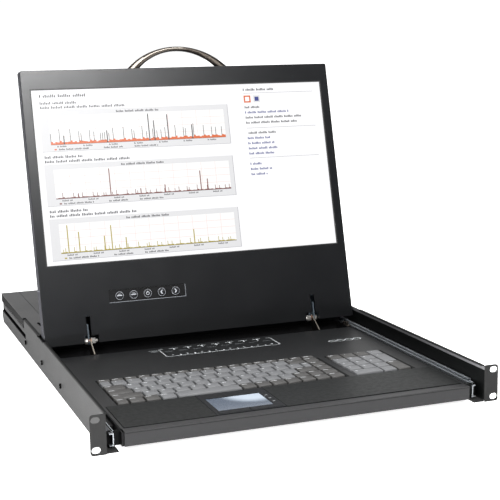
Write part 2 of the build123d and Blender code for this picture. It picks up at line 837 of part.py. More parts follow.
# Lid back cover: a shell that closes the lid from behind
with BuildPart() as back_cover:
    with BuildSketch(lid_at(lid_thickness)):
        with Locations((0, lid_middle)):
            RectangleRounded(lid_width, lid_height, lid_corner_radius)
    extrude(amount=lid_thickness - front_shell_depth)
    chamfer(back_cover.faces().sort_by(Axis.Y)[-1].edges(), lid_edge_chamfer)
    with BuildSketch(lid_at(back_inside)):
        with Locations((0, lid_middle)):
            RectangleRounded(lid_width - 2 * sheet, lid_height - 2 * sheet, lid_corner_radius - sheet)
    extrude(amount=lid_thickness, mode=Mode.SUBTRACT)
    with BuildSketch(lid_at(back_inside)):
        for side in (-1, 1):
            barrel_range = sorted((side * barrel_inner, side * barrel_outer))
            lid_rectangle(barrel_range, (lid_bottom - overrun, barrel_cut_rise))
    extrude(amount=lid_thickness, mode=Mode.SUBTRACT)
save(back_cover.part, "lid_back_cover")

# Screws on the lid's back
with BuildPart() as lid_screws:
    with BuildSketch(lid_at(lid_thickness)):
        screw_inset = 4 * lid_corner_radius
        with Locations((0, lid_middle)):
            with GridLocations((lid_width - screw_inset) / 2, lid_height - screw_inset, 3, 2):
                RegularPolygon(cover_screw_radius, screw_sides)
    extrude(amount=-cover_screw_height)
save(lid_screws.part, "lid_screws")

# Screen module behind the window
with BuildPart() as lcd:
    with BuildSketch(lid_at(sheet + panel_recess + panel_module_depth)):
        with Locations((0, screen_middle)):
            Rectangle(screen_width + 2 * panel_side_rim, screen_height + 2 * panel_end_rim)
    extrude(amount=panel_module_depth)
save(lcd.part, "lcd_panel")

# Display board on posts from the back cover
board_plane = lid_at(display_board_depth + board_thickness)
board_centre = (display_board_left + display_board_width / 2, display_board_rise + display_board_height / 2)
with BuildPart(board_plane * Location((*board_centre, 0))) as display_board:
    post = back_inside - display_board_depth - board_thickness
    board(display_board_width, display_board_height, board_thickness, post, 4)
save(display_board.part, "display_board")

# Menu bezel, its board and five push buttons
with BuildPart() as menu_bezel:
    with BuildSketch(lid_at(sheet)):
        with Locations((menu_centre_x, menu_middle)):
            Rectangle(menu_width, menu_height)
    extrude(amount=sheet - menu_recess)
    with BuildSketch(lid_at(sheet + tray_wall)):
        with Locations((menu_centre_x, menu_middle)):
            Rectangle(menu_width + 2 * menu_flange, menu_height + 2 * menu_flange)
    extrude(amount=tray_wall)
    with BuildSketch(lid_at(sheet + overrun)):
        with Locations(*[(menu_centre_x + offset_x, menu_middle) for offset_x in menu_offsets]):
            RegularPolygon(menu_button_radius + running_gap, button_sides)
    extrude(amount=2 * overrun, mode=Mode.SUBTRACT)
save(menu_bezel.part, "menu_bezel")

menu_board_height = menu_height + 2 * menu_flange
menu_board_width = menu_width + 2 * menu_flange
with BuildPart() as menu_board:
    with BuildSketch(lid_at(button_board_depth + board_thickness)):
        with Locations((menu_centre_x, menu_middle)):
            Rectangle(menu_board_width, menu_board_height)
    extrude(amount=board_thickness)
    with BuildSketch(lid_at(button_board_depth)):
        with Locations((menu_centre_x, menu_middle)):
            with GridLocations(menu_width - menu_pitch / 3, menu_height, 2, 2):
                Rectangle(menu_plunger_radius, menu_plunger_radius)
    extrude(amount=button_board_depth - sheet - tray_wall)
save(menu_board.part, "menu_board")

for number, offset_x in enumerate(menu_offsets, start=1):
    with BuildPart() as menu_button:
        button_under = menu_button_length - menu_button_proud
        with BuildSketch(lid_at(button_under)):
            with Locations((menu_centre_x + offset_x, menu_middle)):
                RegularPolygon(menu_button_radius, button_sides)
        extrude(amount=menu_button_length)
        with BuildSketch(lid_at(button_under)):
            with Locations((menu_centre_x + offset_x, menu_middle)):
                RegularPolygon(menu_plunger_radius, screw_sides)
        extrude(amount=-menu_plunger_length)
    save(menu_button.part, f"menu_button_{number}")

# Pull handle on the lid's top edge: a bow that thickens towards its feet
handle_plane = lid_at((lid_thickness + handle_depth) / 2)
with BuildPart() as handle:
    with BuildSketch(handle_plane):
        with BuildLine():
            ThreePointArc(
                (-handle_outer_span / 2, lid_top),
                (0, lid_top + handle_outer_rise),
                (handle_outer_span / 2, lid_top),
            )
            Line((handle_outer_span / 2, lid_top), (handle_inner_span / 2, lid_top))
            ThreePointArc(
                (handle_inner_span / 2, lid_top),
                (0, lid_top + handle_inner_rise),
                (-handle_inner_span / 2, lid_top),
            )
            Line((-handle_inner_span / 2, lid_top), (-handle_outer_span / 2, lid_top))
        make_face()
    extrude(amount=handle_depth)
    chamfer(handle.edges().filter_by(GeomType.CIRCLE), handle_chamfer)
save(handle.part, "pull_handle")

with BuildPart() as handle_screws:
    foot_x = (handle_outer_span + handle_inner_span) / 4
    screw_plane = Plane(
        origin=pin_point + lid_out * (pin_depth - lid_thickness / 2) + lid_up * (lid_top - sheet),
        x_dir=(1, 0, 0),
        z_dir=lid_up,
    )
    with BuildSketch(screw_plane):
        with Locations((-foot_x, 0), (foot_x, 0)):
            RegularPolygon(handle_screw_head_radius, screw_sides)
    extrude(amount=-handle_screw_head_radius / 2)
save(handle_screws.part, "handle_screws")

# Switch housing at the rear: an open box that widens behind the slides
housing_x = (inner_web_x - slide_wall - housing_side_gap, rail_inner_x - running_gap)
housing_top = half_height - sheet


def stepped_plan(front_x, rear_x, front, step, rear):
    """Corners of a T-shaped plan, narrow in front and wide behind the step."""
    right = [(front_x, front), (front_x, step), (rear_x, step), (rear_x, rear)]
    return right + [(-x, y) for x, y in reversed(right)]


housing_plan = stepped_plan(*housing_x, housing_front, housing_step, housing_rear)
inside_plan = stepped_plan(
    housing_x[0] - housing_wall,
    housing_x[1] - housing_wall,
    housing_front + housing_wall,
    housing_step + housing_wall,
    housing_rear - housing_wall,
)
cover_plan = stepped_plan(top_lip_x - cover_side_gap, rail_x, housing_front, cover_step, cover_rear)
port_z = lip_floor_z + port_rise
port_places = [(port_first_x + i * port_pitch, port_z) for i in range(port_count)]
with BuildPart() as housing:
    with BuildSketch(Plane.XY.offset(lip_floor_z)):
        with BuildLine():
            Polyline(*housing_plan, close=True)
        make_face()
    extrude(amount=housing_top - lip_floor_z)
    with BuildSketch(Plane.XY.offset(lip_floor_z + housing_wall)):
        with BuildLine():
            Polyline(*inside_plan, close=True)
        make_face()
    extrude(amount=unit_height, mode=Mode.SUBTRACT)
    with BuildSketch(Plane.XZ.offset(-housing_rear)):
        with Locations(*port_places):
            port_gap = 2 * running_gap
            Trapezoid(port_width + port_gap, port_height + port_gap, port_shell_angle, rotation=180)
        with Locations((inlet_x, port_z)):
            Rectangle(inlet_width + 2 * running_gap, inlet_height + 2 * running_gap)
    extrude(amount=2 * overrun, both=True, mode=Mode.SUBTRACT)
save(housing.part, "switch_housing")

# Top cover with side skirts that lie flush with the rails
with BuildPart() as cover:
    with BuildSketch(Plane.XY.offset(housing_top)):
        with BuildLine():
            Polyline(*cover_plan, close=True)
        make_face()
    extrude(amount=sheet)
    for side in (-1, 1):
        add_box(
            sorted((side * rail_inner_x, side * rail_x)),
            (cover_step, rail_upper_length),
            (half_height - skirt_height, half_height - sheet / 2),
        )
        seam = side * cover_seam_x
        cut_box(
            (seam - cover_seam_width / 2, seam + cover_seam_width / 2),
            (cover_step + cover_seam_gap, cover_rear + overrun),
            (half_height - cover_seam_depth, half_height + overrun),
        )
        with BuildSketch(Plane.XY.offset(half_height)):
            with Locations((side * cover_slot_x, cover_slot_y)):
                SlotOverall(cover_slot_length, cover_slot_width, rotation=90)
        extrude(amount=-2 * sheet, mode=Mode.SUBTRACT)
save(cover.part, "switch_cover")

# Screws that hold the housing's floor to the rails' bottom lips
with BuildPart() as housing_screws:
    with BuildSketch(Plane.XY.offset(lip_floor_z + housing_wall)):
        with Locations((0, housing_rear - housing_screw_setback)):
            with GridLocations(bottom_lip_x + rail_inner_x, housing_screw_pitch, 2, 2):
                RegularPolygon(slide_screw_head_radius, screw_sides)
    extrude(amount=slide_screw_radius)
save(housing_screws.part, "housing_screws")

# Switch board with its row of ports
board_z = lip_floor_z + housing_wall + switch_board_rise
board_y = housing_rear - housing_wall - port_block_depth / 2 - switch_board_depth / 2
with BuildPart(Plane((switch_board_right - switch_board_width / 2, board_y, board_z))) as switch_board:
    board(switch_board_width, switch_board_depth, board_thickness, switch_board_rise, 5)
save(switch_board.part, "switch_board")

with BuildPart() as ports:
    with BuildSketch(Plane.XZ.offset(-housing_rear)):
        with Locations(*port_places):
            Trapezoid(port_width, port_height, port_shell_angle, rotation=180)
    extrude(amount=-port_stickout)
    for x, z in port_places:
        add_box(
            (x - port_width / 2, x + port_width / 2),
            (housing_rear - housing_wall - port_block_depth, housing_rear - housing_wall),
            (board_z + board_thickness, board_z + board_thickness + port_block_height),
        )
        add_box(
            (x - port_width / 2 + port_shell_corner, x + port_width / 2 - port_shell_corner),
            (housing_rear - housing_wall, housing_rear),
            (z - port_height / 2, z + port_height / 2),
        )
    with BuildSketch(Plane.XZ.offset(-housing_rear)):
        for x, z in port_places:
            with Locations((x - jack_post_pitch / 2, z), (x + jack_post_pitch / 2, z)):
                RegularPolygon(jack_post_radius, 6)
    extrude(amount=-jack_post_length)
save(ports.part, "port_connectors")

# Power supply and its inlet
with BuildPart() as supply:
    supply_rear = housing_rear - inlet_depth - inlet_flange_thickness
    add_box(
        (supply_left, supply_left + supply_width),
        (housing_step + supply_step_gap, supply_rear),
        (lip_floor_z + housing_wall, lip_floor_z + housing_wall + supply_height),
    )
    fillet(supply.faces().sort_by(Axis.Z)[-1].edges().filter_by(Axis.Y), bend_radius)
save(supply.part, "power_supply")

with BuildPart() as inlet:
    with BuildSketch(Plane.XZ.offset(-housing_rear)):
        with Locations((inlet_x, port_z)):
            RectangleRounded(inlet_flange_width, inlet_flange_height, inlet_wall)
    extrude(amount=-inlet_flange_thickness)
    with BuildSketch(Plane.XZ.offset(-housing_rear)):
        with Locations((inlet_x, port_z)):
            Rectangle(inlet_width, inlet_height)
    extrude(amount=inlet_depth)
    with BuildSketch(Plane.XZ.offset(-housing_rear - inlet_flange_thickness)):
        with Locations((inlet_x, port_z)):
            Rectangle(inlet_width - 2 * inlet_wall, inlet_height - 2 * inlet_wall)
    extrude(amount=inlet_cavity_depth, mode=Mode.SUBTRACT)
    with BuildSketch(Plane.XZ.offset(inlet_cavity_depth - housing_rear - inlet_flange_thickness)):
        with Locations((inlet_x, port_z + inlet_pin_height)):
            Rectangle(inlet_pin_height, inlet_pin_width)
        with Locations(
            (inlet_x - inlet_pin_pitch, port_z - inlet_pin_height),
            (inlet_x + inlet_pin_pitch, port_z - inlet_pin_height),
        ):
            Rectangle(inlet_pin_height, inlet_pin_width)
    extrude(amount=-inlet_pin_length)
save(inlet.part, "power_inlet")
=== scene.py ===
"""Looks of a one-unit rack console drawer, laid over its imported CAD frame.

The drawer stands on a pale studio floor with its lid open: two rails with rack ears, a tray with a keyboard,
a keypad and a touchpad, and a lid with a lit screen, five menu buttons and a bow handle. Every piece is drawn
in millimetres and ends in metres, in the frame of the CAD model.
"""

from __future__ import annotations

import json
import logging
import math
from dataclasses import dataclass
from enum import Enum, IntEnum
from typing import Iterable, Optional, Sequence

import bmesh
import bpy
from mathutils import Matrix, Vector

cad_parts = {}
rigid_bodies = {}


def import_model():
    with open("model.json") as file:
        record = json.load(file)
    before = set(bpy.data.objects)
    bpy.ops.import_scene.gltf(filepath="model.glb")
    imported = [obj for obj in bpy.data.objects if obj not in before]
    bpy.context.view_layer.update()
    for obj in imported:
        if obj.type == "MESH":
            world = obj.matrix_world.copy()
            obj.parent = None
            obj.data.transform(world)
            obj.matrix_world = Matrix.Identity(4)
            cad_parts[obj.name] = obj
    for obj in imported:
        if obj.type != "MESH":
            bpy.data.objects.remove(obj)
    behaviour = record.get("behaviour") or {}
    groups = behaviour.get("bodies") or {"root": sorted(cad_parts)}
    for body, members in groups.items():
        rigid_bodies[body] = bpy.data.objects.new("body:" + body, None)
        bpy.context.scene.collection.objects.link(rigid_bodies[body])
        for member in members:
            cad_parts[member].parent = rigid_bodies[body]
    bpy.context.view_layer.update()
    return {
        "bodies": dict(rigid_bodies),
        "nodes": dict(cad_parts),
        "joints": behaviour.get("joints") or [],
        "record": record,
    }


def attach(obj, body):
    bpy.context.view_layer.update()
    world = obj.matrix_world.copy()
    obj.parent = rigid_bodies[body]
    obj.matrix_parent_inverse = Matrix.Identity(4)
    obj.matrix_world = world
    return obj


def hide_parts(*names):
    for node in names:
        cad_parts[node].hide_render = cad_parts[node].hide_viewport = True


LOG = logging.getLogger("console_drawer")
MM = 0.001
SIDES = (("left", -1), ("right", 1))

Colour = tuple[float, float, float]
Point = tuple[float, float, float]
Spot = tuple[float, float]


class Body(Enum):
    """Moving groups of the CAD model that pieces ride on."""

    CHASSIS = "chassis"
    DRAWER = "drawer"
    LID = "lid"


class Axis(Enum):
    """Directions that a brushed grain can run in."""

    X = 0
    Y = 1


def shade(red: int, green: int, blue: int) -> Colour:
    """Turn a colour as seen on a screen into the linear one that shaders take.

    Args:
        red: Red from 0 to 255.
        green: Green from 0 to 255.
        blue: Blue from 0 to 255.

    Returns:
        The three linear values.
    """

    def linear(value: int) -> float:
        """Turn one channel from its screen value into light.

        Args:
            value: The channel from 0 to 255.

        Returns:
            Its linear value.
        """
        part = value / 255
        return part / 12.92 if part <= 0.04045 else ((part + 0.055) / 1.055) ** 2.4

    return linear(red), linear(green), linear(blue)


def add_node(
    tree: bpy.types.NodeTree, kind: str, inputs: Optional[dict] = None, **settings: str
) -> bpy.types.Node:
    """Add a node to a tree and set it up.

    Args:
        tree: Tree to add to.
        kind: Type of the node, without its prefix.
        inputs: Values of its inputs, by name or number.
        settings: Values of its own settings.

    Returns:
        The node.
    """
    node = tree.nodes.new("ShaderNode" + kind)
    for name, value in settings.items():
        setattr(node, name, value)
    for socket, value in (inputs or {}).items():
        node.inputs[socket].default_value = value
    return node


class Graph:
    """A material's node tree, with the few moves that the finishes need."""

    def __init__(self, name: str) -> None:
        """Start a material with one shader wired to its output.

        Args:
            name: Name of the material.
        """
        self.material = bpy.data.materials.new(name)
        self.material.use_nodes = True
        self.tree = self.material.node_tree
        self.shader = self.tree.nodes["Principled BSDF"]
        self.place = add_node(self.tree, "TexCoord").outputs["Object"]

    def wire(self, source: bpy.types.NodeSocket, target: bpy.types.NodeSocket | str) -> None:
        """Connect two sockets.

        Args:
            source: Where the value comes from.
            target: Where it goes, or the name of one of the shader's sockets.
        """
        if isinstance(target, str):
            target = self.shader.inputs[target]
        self.tree.links.new(source, target)

    def put(self, values: dict[str, float | Sequence[float]]) -> None:
        """Set values on the shader's own sockets.

        Args:
            values: The values by the names of their sockets.
        """
        for socket, value in values.items():
            self.shader.inputs[socket].default_value = value

    def noise(
        self, scale: float, detail: float = 2.0, stretch: Optional[Point] = None
    ) -> bpy.types.NodeSocket:
        """Cloudy pattern between nought and one.

        Args:
            scale: Waves per metre.
            detail: Number of finer layers.
            stretch: Optional factor along each axis first.

        Returns:
            The pattern's value.
        """
        source = self.place
        if stretch:
            mapping = add_node(self.tree, "Mapping", {"Scale": stretch})
            self.wire(source, mapping.inputs["Vector"])
            source = mapping.outputs["Vector"]
        texture = add_node(self.tree, "TexNoise", {"Scale": scale, "Detail": detail})
        self.wire(source, texture.inputs["Vector"])
        return texture.outputs["Fac"]

    def distance(self, point: Point = (0.0, 0.0, 0.0)) -> bpy.types.NodeSocket:
        """Measure how far the surface is from a point.

        Args:
            point: The point, in metres.

        Returns:
            The distance in metres.
        """
        measure = add_node(self.tree, "VectorMath", {1: point}, operation="DISTANCE")
        self.wire(self.place, measure.inputs[0])
        return measure.outputs["Value"]

    def ranged(
        self,
        value: bpy.types.NodeSocket,
        low: float,
        high: float,
        span: Spot = (0.3, 0.7),
        kind: str = "LINEAR",
    ) -> bpy.types.NodeSocket:
        """Spread a value between two limits.

        Args:
            value: Pattern to spread.
            low: Result where the spread starts.
            high: Result where it ends.
            span: Values of the pattern at which it starts and ends.
            kind: Kind of the spread.

        Returns:
            The spread value.
        """
        limits = {"From Min": span[0], "From Max": span[1], "To Min": low, "To Max": high}
        spread = add_node(self.tree, "MapRange", limits, interpolation_type=kind)
        self.wire(value, spread.inputs["Value"])
        return spread.outputs["Result"]

    def blended(self, factor: bpy.types.NodeSocket, first: Colour, second: Colour) -> bpy.types.NodeSocket:
        """Go from one colour to another.

        Args:
            factor: Share of the second colour.
            first: Colour at nought.
            second: Colour at one.

        Returns:
            The blended colour.
        """
        mix = add_node(self.tree, "Mix", {"A": (*first, 1), "B": (*second, 1)}, data_type="RGBA")
        self.wire(factor, mix.inputs["Factor"])
        return mix.outputs["Result"]

    def emboss(self, height: bpy.types.NodeSocket, strength: float, distance: float) -> None:
        """Raise the surface by a pattern.

        Args:
            height: Pattern to raise by.
            strength: Share of the full effect.
            distance: Height of the pattern in metres.
        """
        bump = add_node(self.tree, "Bump", {"Strength": strength, "Distance": distance})
        self.wire(height, bump.inputs["Height"])
        self.wire(bump.outputs["Normal"], "Normal")


@dataclass(frozen=True)
class Finish:
    """What every finish has: its name and its main colour.

    Attributes:
        name: Name of the material.
        colour: Linear base colour.
    """

    name: str
    colour: Colour

    def shades(self, spread: float) -> tuple[Colour, Colour]:
        """A darker and a lighter version of the main colour.

        Args:
            spread: Share of the colour to go down and up.

        Returns:
            The two colours.
        """
        darker = tuple(part * (1 - spread) for part in self.colour)
        lighter = tuple(min(1.0, part * (1 + spread)) for part in self.colour)
        return darker, lighter

    def build(self) -> bpy.types.Material:
        """Make the material once, and hand out the same one afterwards.

        Returns:
            The material.
        """
        return bpy.data.materials.get(self.name) or self.mix()

    def mix(self) -> bpy.types.Material:
        """Make the material's nodes.

        Returns:
            The new material.
        """
        raise NotImplementedError


@dataclass(frozen=True)
class PowderPaint(Finish):
    """Baked powder paint with its fine orange-peel.

    Attributes:
        roughness: Mean roughness.
        swing: How far the roughness goes down and up.
        depth: Share of the grain's full height.
        height: The grain's full height in metres.
        grain: Grains per metre.
        drift: Share by which the colour drifts over the surface.
        gloss: Strength of its mirror-like part.
        clouds: Waves per metre of the colour's drift, and its finer layers.
        wear: Waves per metre of the roughness's swing, and its finer layers.
    """

    roughness: float = 0.45
    swing: float = 0.015
    depth: float = 0.12
    height: float = 0.0004
    grain: float = 1500.0
    drift: float = 0.05
    gloss: float = 0.5
    clouds: Spot = (7, 2)
    wear: Spot = (22, 2)

    def mix(self) -> bpy.types.Material:
        """Make the nodes of the coating.

        Returns:
            The new material.
        """
        graph = Graph(self.name)
        graph.wire(graph.blended(graph.noise(*self.clouds), *self.shades(self.drift)), "Base Color")
        low, high = self.roughness - self.swing, self.roughness + self.swing
        graph.wire(graph.ranged(graph.noise(*self.wear), low, high), "Roughness")
        graph.put({"Specular IOR Level": self.gloss})
        graph.emboss(graph.noise(self.grain, 2), self.depth, self.height)
        return graph.material


@dataclass(frozen=True)
class MouldedPlastic(PowderPaint):
    """Moulded plastic with a fine spark-eroded grain, mixed as the paint is."""

    roughness: float = 0.5
    swing: float = 0.05
    depth: float = 0.1
    height: float = 0.0002
    grain: float = 2600.0
    drift: float = 0.08
    clouds: Spot = (30, 3)
    wear: Spot = (180, 3)


@dataclass(frozen=True)
class BrushedMetal(Finish):
    """Rolled or brushed metal with fine streaks along one axis.

    Attributes:
        roughness: Mean roughness.
        grain: Direction of the streaks.
        depth: Share of the streaks' full height.
        patchiness: How much the roughness varies along the streaks.
    """

    roughness: float = 0.32
    grain: Axis = Axis.Y
    depth: float = 0.15
    patchiness: float = 0.09

    def mix(self) -> bpy.types.Material:
        """Make the metal's nodes.

        Returns:
            The new material.
        """
        graph = Graph(self.name)
        graph.put({"Metallic": 1.0})
        stretch = [1.0, 1.0, 1.0]
        stretch[self.grain.value] = 0.02
        streaks = graph.noise(1800, 3, tuple(stretch))
        graph.wire(graph.blended(graph.noise(14, 3), *self.shades(0.14)), "Base Color")
        rough = graph.ranged(streaks, self.roughness - self.patchiness, self.roughness + self.patchiness)
        graph.wire(rough, "Roughness")
        graph.emboss(streaks, self.depth, 0.0002)
        return graph.material


@dataclass(frozen=True)
class StudioPaper(Finish):
    """White studio paper that is lit from behind more further out, so that it has no far edge.

    Attributes:
        near: Distance from the middle at which the light from behind starts to grow, in metres.
        far: Distance at which it is full.
        least: The light from behind at the middle.
    """

    near: float = 0.5
    far: float = 1.7
    least: float = 0.85

    def mix(self) -> bpy.types.Material:
        """Make the paper's nodes.

        Returns:
            The new material.
        """
        graph = Graph(self.name)
        graph.wire(graph.blended(graph.noise(4, 2), *self.shades(0.005)), "Base Color")
        graph.put({"Roughness": 0.9, "Specular IOR Level": 0.1, "Emission Color": (1, 1, 1, 1)})
        light = graph.ranged(graph.distance(), self.least, 1.0, (self.near, self.far), "SMOOTHSTEP")
        graph.wire(light, "Emission Strength")
        return graph.material


@dataclass(frozen=True)
class PolishedPad(Finish):
    """Smooth touch film, lighter towards its rear right corner, where it carries a painted reflection of the
    screen.

    Attributes:
        glow: Colour of the painted reflection at that corner.
        corner: World point in metres that the painted reflection spreads from.
        reach: How far it spreads, in metres.
    """

    glow: Colour = (0.6, 0.62, 0.65)
    corner: Point = (-0.036, 0.082, -0.0005)
    reach: float = 0.042

    def mix(self) -> bpy.types.Material:
        """Make the film's nodes.

        Returns:
            The new material.
        """
        graph = Graph(self.name)
        span = (self.reach, self.reach * 0.55)
        # Painted reflection of the screen: lighter towards the corner.
        reflection_share = graph.ranged(graph.distance(self.corner), 0.0, 1.0, span, "SMOOTHSTEP")
        graph.wire(graph.blended(reflection_share, self.colour, self.glow), "Base Color")
        graph.wire(graph.ranged(graph.noise(200, 3), 0.2, 0.26), "Roughness")
        graph.put({"Coat Weight": 0.5, "Coat Roughness": 0.08})
        graph.emboss(graph.noise(2600, 2), 0.03, 0.0002)
        return graph.material


@dataclass(frozen=True)
class CircuitLaminate(Finish):
    """Green solder mask with the tracks showing faintly under it."""

    def mix(self) -> bpy.types.Material:
        """Make the laminate's nodes.

        Returns:
            The new material.
        """
        graph = Graph(self.name)
        kind = {"feature": "DISTANCE_TO_EDGE", "distance": "MANHATTAN"}
        tracks = add_node(graph.tree, "TexVoronoi", {"Scale": 160}, **kind)
        graph.wire(graph.place, tracks.inputs["Vector"])
        line = graph.ranged(tracks.outputs["Distance"], 0.0, 1.0)
        graph.wire(graph.blended(line, *self.shades(0.35)), "Base Color")
        graph.put({"Roughness": 0.35})
        graph.emboss(line, 0.2, 0.0001)
        return graph.material


@dataclass(frozen=True)
class LitGlass(Finish):
    """A lit part of the screen, with the panel's slight unevenness.

    Attributes:
        strength: Brightness of the light.
    """

    strength: float = 1.0

    def mix(self) -> bpy.types.Material:
        """Make the lit surface's nodes.

        Returns:
            The new material.
        """
        graph = Graph(self.name)
        graph.put({"Base Color": (0.01, 0.01, 0.012, 1), "Roughness": 0.35, "Specular IOR Level": 0.3})
        graph.wire(graph.blended(graph.noise(5, 1), *self.shades(0.015)), "Emission Color")
        graph.put({"Emission Strength": self.strength})
        graph.emboss(graph.noise(3000, 1), 0.05, 0.0001)
        return graph.material


class Finishes:
    """The finishes of the drawer, each under the name of what wears it."""

    RAIL = PowderPaint("rail_paint_black", shade(43, 43, 43), roughness=0.36, gloss=0.006)
    # Painted light: a grey band on the rails' black inner web under the top lip, where light falls in.
    RAIL_BAND = PowderPaint("rail_painted_light_grey", shade(104, 104, 106), roughness=0.5, gloss=0.05)
    # Painted shade: near-black matt cards where shade falls, in the rails, gaps and grooves and round the
    # menu recess.
    LINING = PowderPaint("rail_lining_black", shade(6, 7, 7), roughness=0.6, gloss=0.1)
    COVER = PowderPaint("cover_paint_black", shade(14, 14, 16), roughness=0.42, gloss=0.2)
    # Painted light: a lighter matt copy of the cover's black paint for its sides, where light falls on them.
    COVER_FLANK = PowderPaint("cover_side_painted_light", shade(41, 41, 41), roughness=0.6, gloss=0.0)
    LID = PowderPaint("lid_paint_charcoal", shade(9, 10, 12), roughness=0.3, depth=0.05, gloss=0.27)
    # Painted light: a lighter matt copy of the lid's charcoal paint for its narrow sides, for the light strip
    # along them.
    LID_FLANK = PowderPaint("lid_side_painted_light", shade(54, 54, 57), roughness=0.6, gloss=0.0)
    DECK = PowderPaint("deck_paint_black", shade(17, 18, 19), roughness=0.42, gloss=0.3)
    PAN = PowderPaint("tray_paint_black", shade(12, 12, 13), roughness=0.5, gloss=0.2)
    NOSE = PowderPaint("front_bezel_paint", shade(18, 18, 20), roughness=0.45, gloss=0.4)
    PRINT = PowderPaint("deck_print_white", shade(176, 180, 182), roughness=0.6)
    FAINT_PRINT = PowderPaint("deck_print_grey", shade(104, 108, 110), roughness=0.6)
    # Painted highlight: bright strips along the slides' lip edges, where light catches them.
    BURNISHED = PowderPaint("zinc_edge_painted_highlight", shade(136, 142, 146), roughness=0.4, gloss=0.3)
    PALM = MouldedPlastic("palm_panel_black", shade(14, 16, 16), roughness=0.42, gloss=0.12)
    TOUCH_FRAME = MouldedPlastic("touchpad_frame_black", shade(12, 14, 17), roughness=0.38, gloss=0.12)
    # Painted reflection: the touchpad's lighter rear right corner stands in for the screen mirrored in it.
    TOUCH = PolishedPad("touchpad_sensor_blue", shade(68, 78, 92), glow=shade(168, 178, 190))
    KEY_LIGHT = MouldedPlastic("key_cap_grey", shade(90, 91, 93))
    KEY_DARK = MouldedPlastic("key_cap_dark", shade(54, 53, 52))
    LEGEND = MouldedPlastic("key_legend_white", shade(190, 192, 194), roughness=0.6)
    GASKET = MouldedPlastic("screen_gasket_black", shade(10, 10, 11), roughness=0.6)
    BUMPER = MouldedPlastic("slide_bumper_rubber", shade(9, 9, 10), roughness=0.75, gloss=0.1)
    LEAF = MouldedPlastic("hinge_leaf_coating", shade(66, 76, 84), roughness=0.4)
    # Painted shade: dead black without gloss, so that screw heads and the bracket slots read as shaded holes.
    BLACK_SCREW = MouldedPlastic("recess_painted_shade_black", shade(4, 4, 4), roughness=0.8, gloss=0.0)
    # Black plastic of the power inlet; also painted shade in the port pin holes, the jack posts' threaded
    # holes and the bolts' hex recesses, drawn as dark discs.
    SOCKET = MouldedPlastic("black_plastic_and_hole_shade", shade(22, 22, 24), roughness=0.45)
    PORT_FACE = MouldedPlastic("port_face_blue", shade(36, 66, 128), roughness=0.4)
    MENU = MouldedPlastic("menu_panel_black", shade(5, 5, 6), roughness=0.35, depth=0.03, gloss=0.2)
    # Painted highlight: light grey along the lower and right rim of the menu recess, where it catches the
    # light.
    MENU_TRIM = MouldedPlastic("menu_rim_painted_highlight", shade(96, 99, 104), roughness=0.4, depth=0.03)
    MENU_CAP = MouldedPlastic("menu_button_black", shade(14, 15, 18), gloss=0.2)
    MENU_RING = MouldedPlastic("menu_button_ring", shade(140, 143, 148), roughness=0.4)
    ZINC = BrushedMetal("zinc_plated_steel", shade(212, 216, 222), roughness=0.42)
    # Painted shade: a darker copy of the same zinc plating for the inner slide members, so that they look
    # less lit.
    INNER_ZINC = BrushedMetal("zinc_steel_painted_shade", shade(168, 172, 176), roughness=0.42)
    ARM = BrushedMetal("hinge_arm_steel", shade(80, 76, 70), roughness=0.36)
    CAGE = BrushedMetal("ball_retainer_steel", shade(188, 190, 194), roughness=0.25)
    COVER_SCREW = BrushedMetal("black_oxide_screw", shade(48, 48, 52), 0.36, Axis.X)
    SHELL = BrushedMetal("port_shell_nickel", shade(196, 196, 200), 0.25, Axis.X)
    CAN = BrushedMetal("supply_case_steel", shade(172, 174, 178), 0.4, Axis.X)
    BRASS = BrushedMetal("washer_brass", shade(126, 98, 84), 0.34, Axis.X, 0.0)
    BOLT = BrushedMetal("bright_hinge_steel", shade(226, 223, 218), 0.42, Axis.X, 0.0)
    HANDLE = BrushedMetal("satin_nickel_handle", shade(168, 161, 152), 0.5, Axis.X, 0.0, 0.01)
    # Painted shade: dark and dim copies of the satin nickel for the handle's rims and the inner half of its
    # faces.
    HANDLE_FLANK = BrushedMetal("nickel_flank_painted_shade", shade(44, 40, 37), 0.4, Axis.X, 0.0, 0.01)
    HANDLE_INNER = BrushedMetal("nickel_inner_painted_shade", shade(84, 78, 72), 0.38, Axis.X, 0.0, 0.01)
    BOARD = CircuitLaminate("circuit_board_green", shade(22, 92, 52))
    LAMP = LitGlass("lock_lamp_lens", shade(120, 150, 126), strength=0.25)
    PAGE = LitGlass("screen_page_white", shade(252, 252, 253))
    PANEL = LitGlass("screen_panel_grey", shade(226, 226, 227))
    CHART = LitGlass("screen_chart_white", shade(250, 250, 248))
    TEXT = LitGlass("screen_ink_dark", shade(30, 30, 36))
    LINK = LitGlass("screen_link_blue", shade(40, 54, 132))
    GRID = LitGlass("screen_grid_pink", shade(240, 208, 204))
    RULE = LitGlass("screen_rule_grey", shade(164, 164, 168))
    ORANGE = LitGlass("screen_data_orange", shade(220, 98, 20))
    MAROON = LitGlass("screen_data_maroon", shade(122, 56, 44))
    OLIVE = LitGlass("screen_data_olive", shade(170, 152, 30))
    FLOOR = StudioPaper("studio_floor", shade(246, 246, 246))


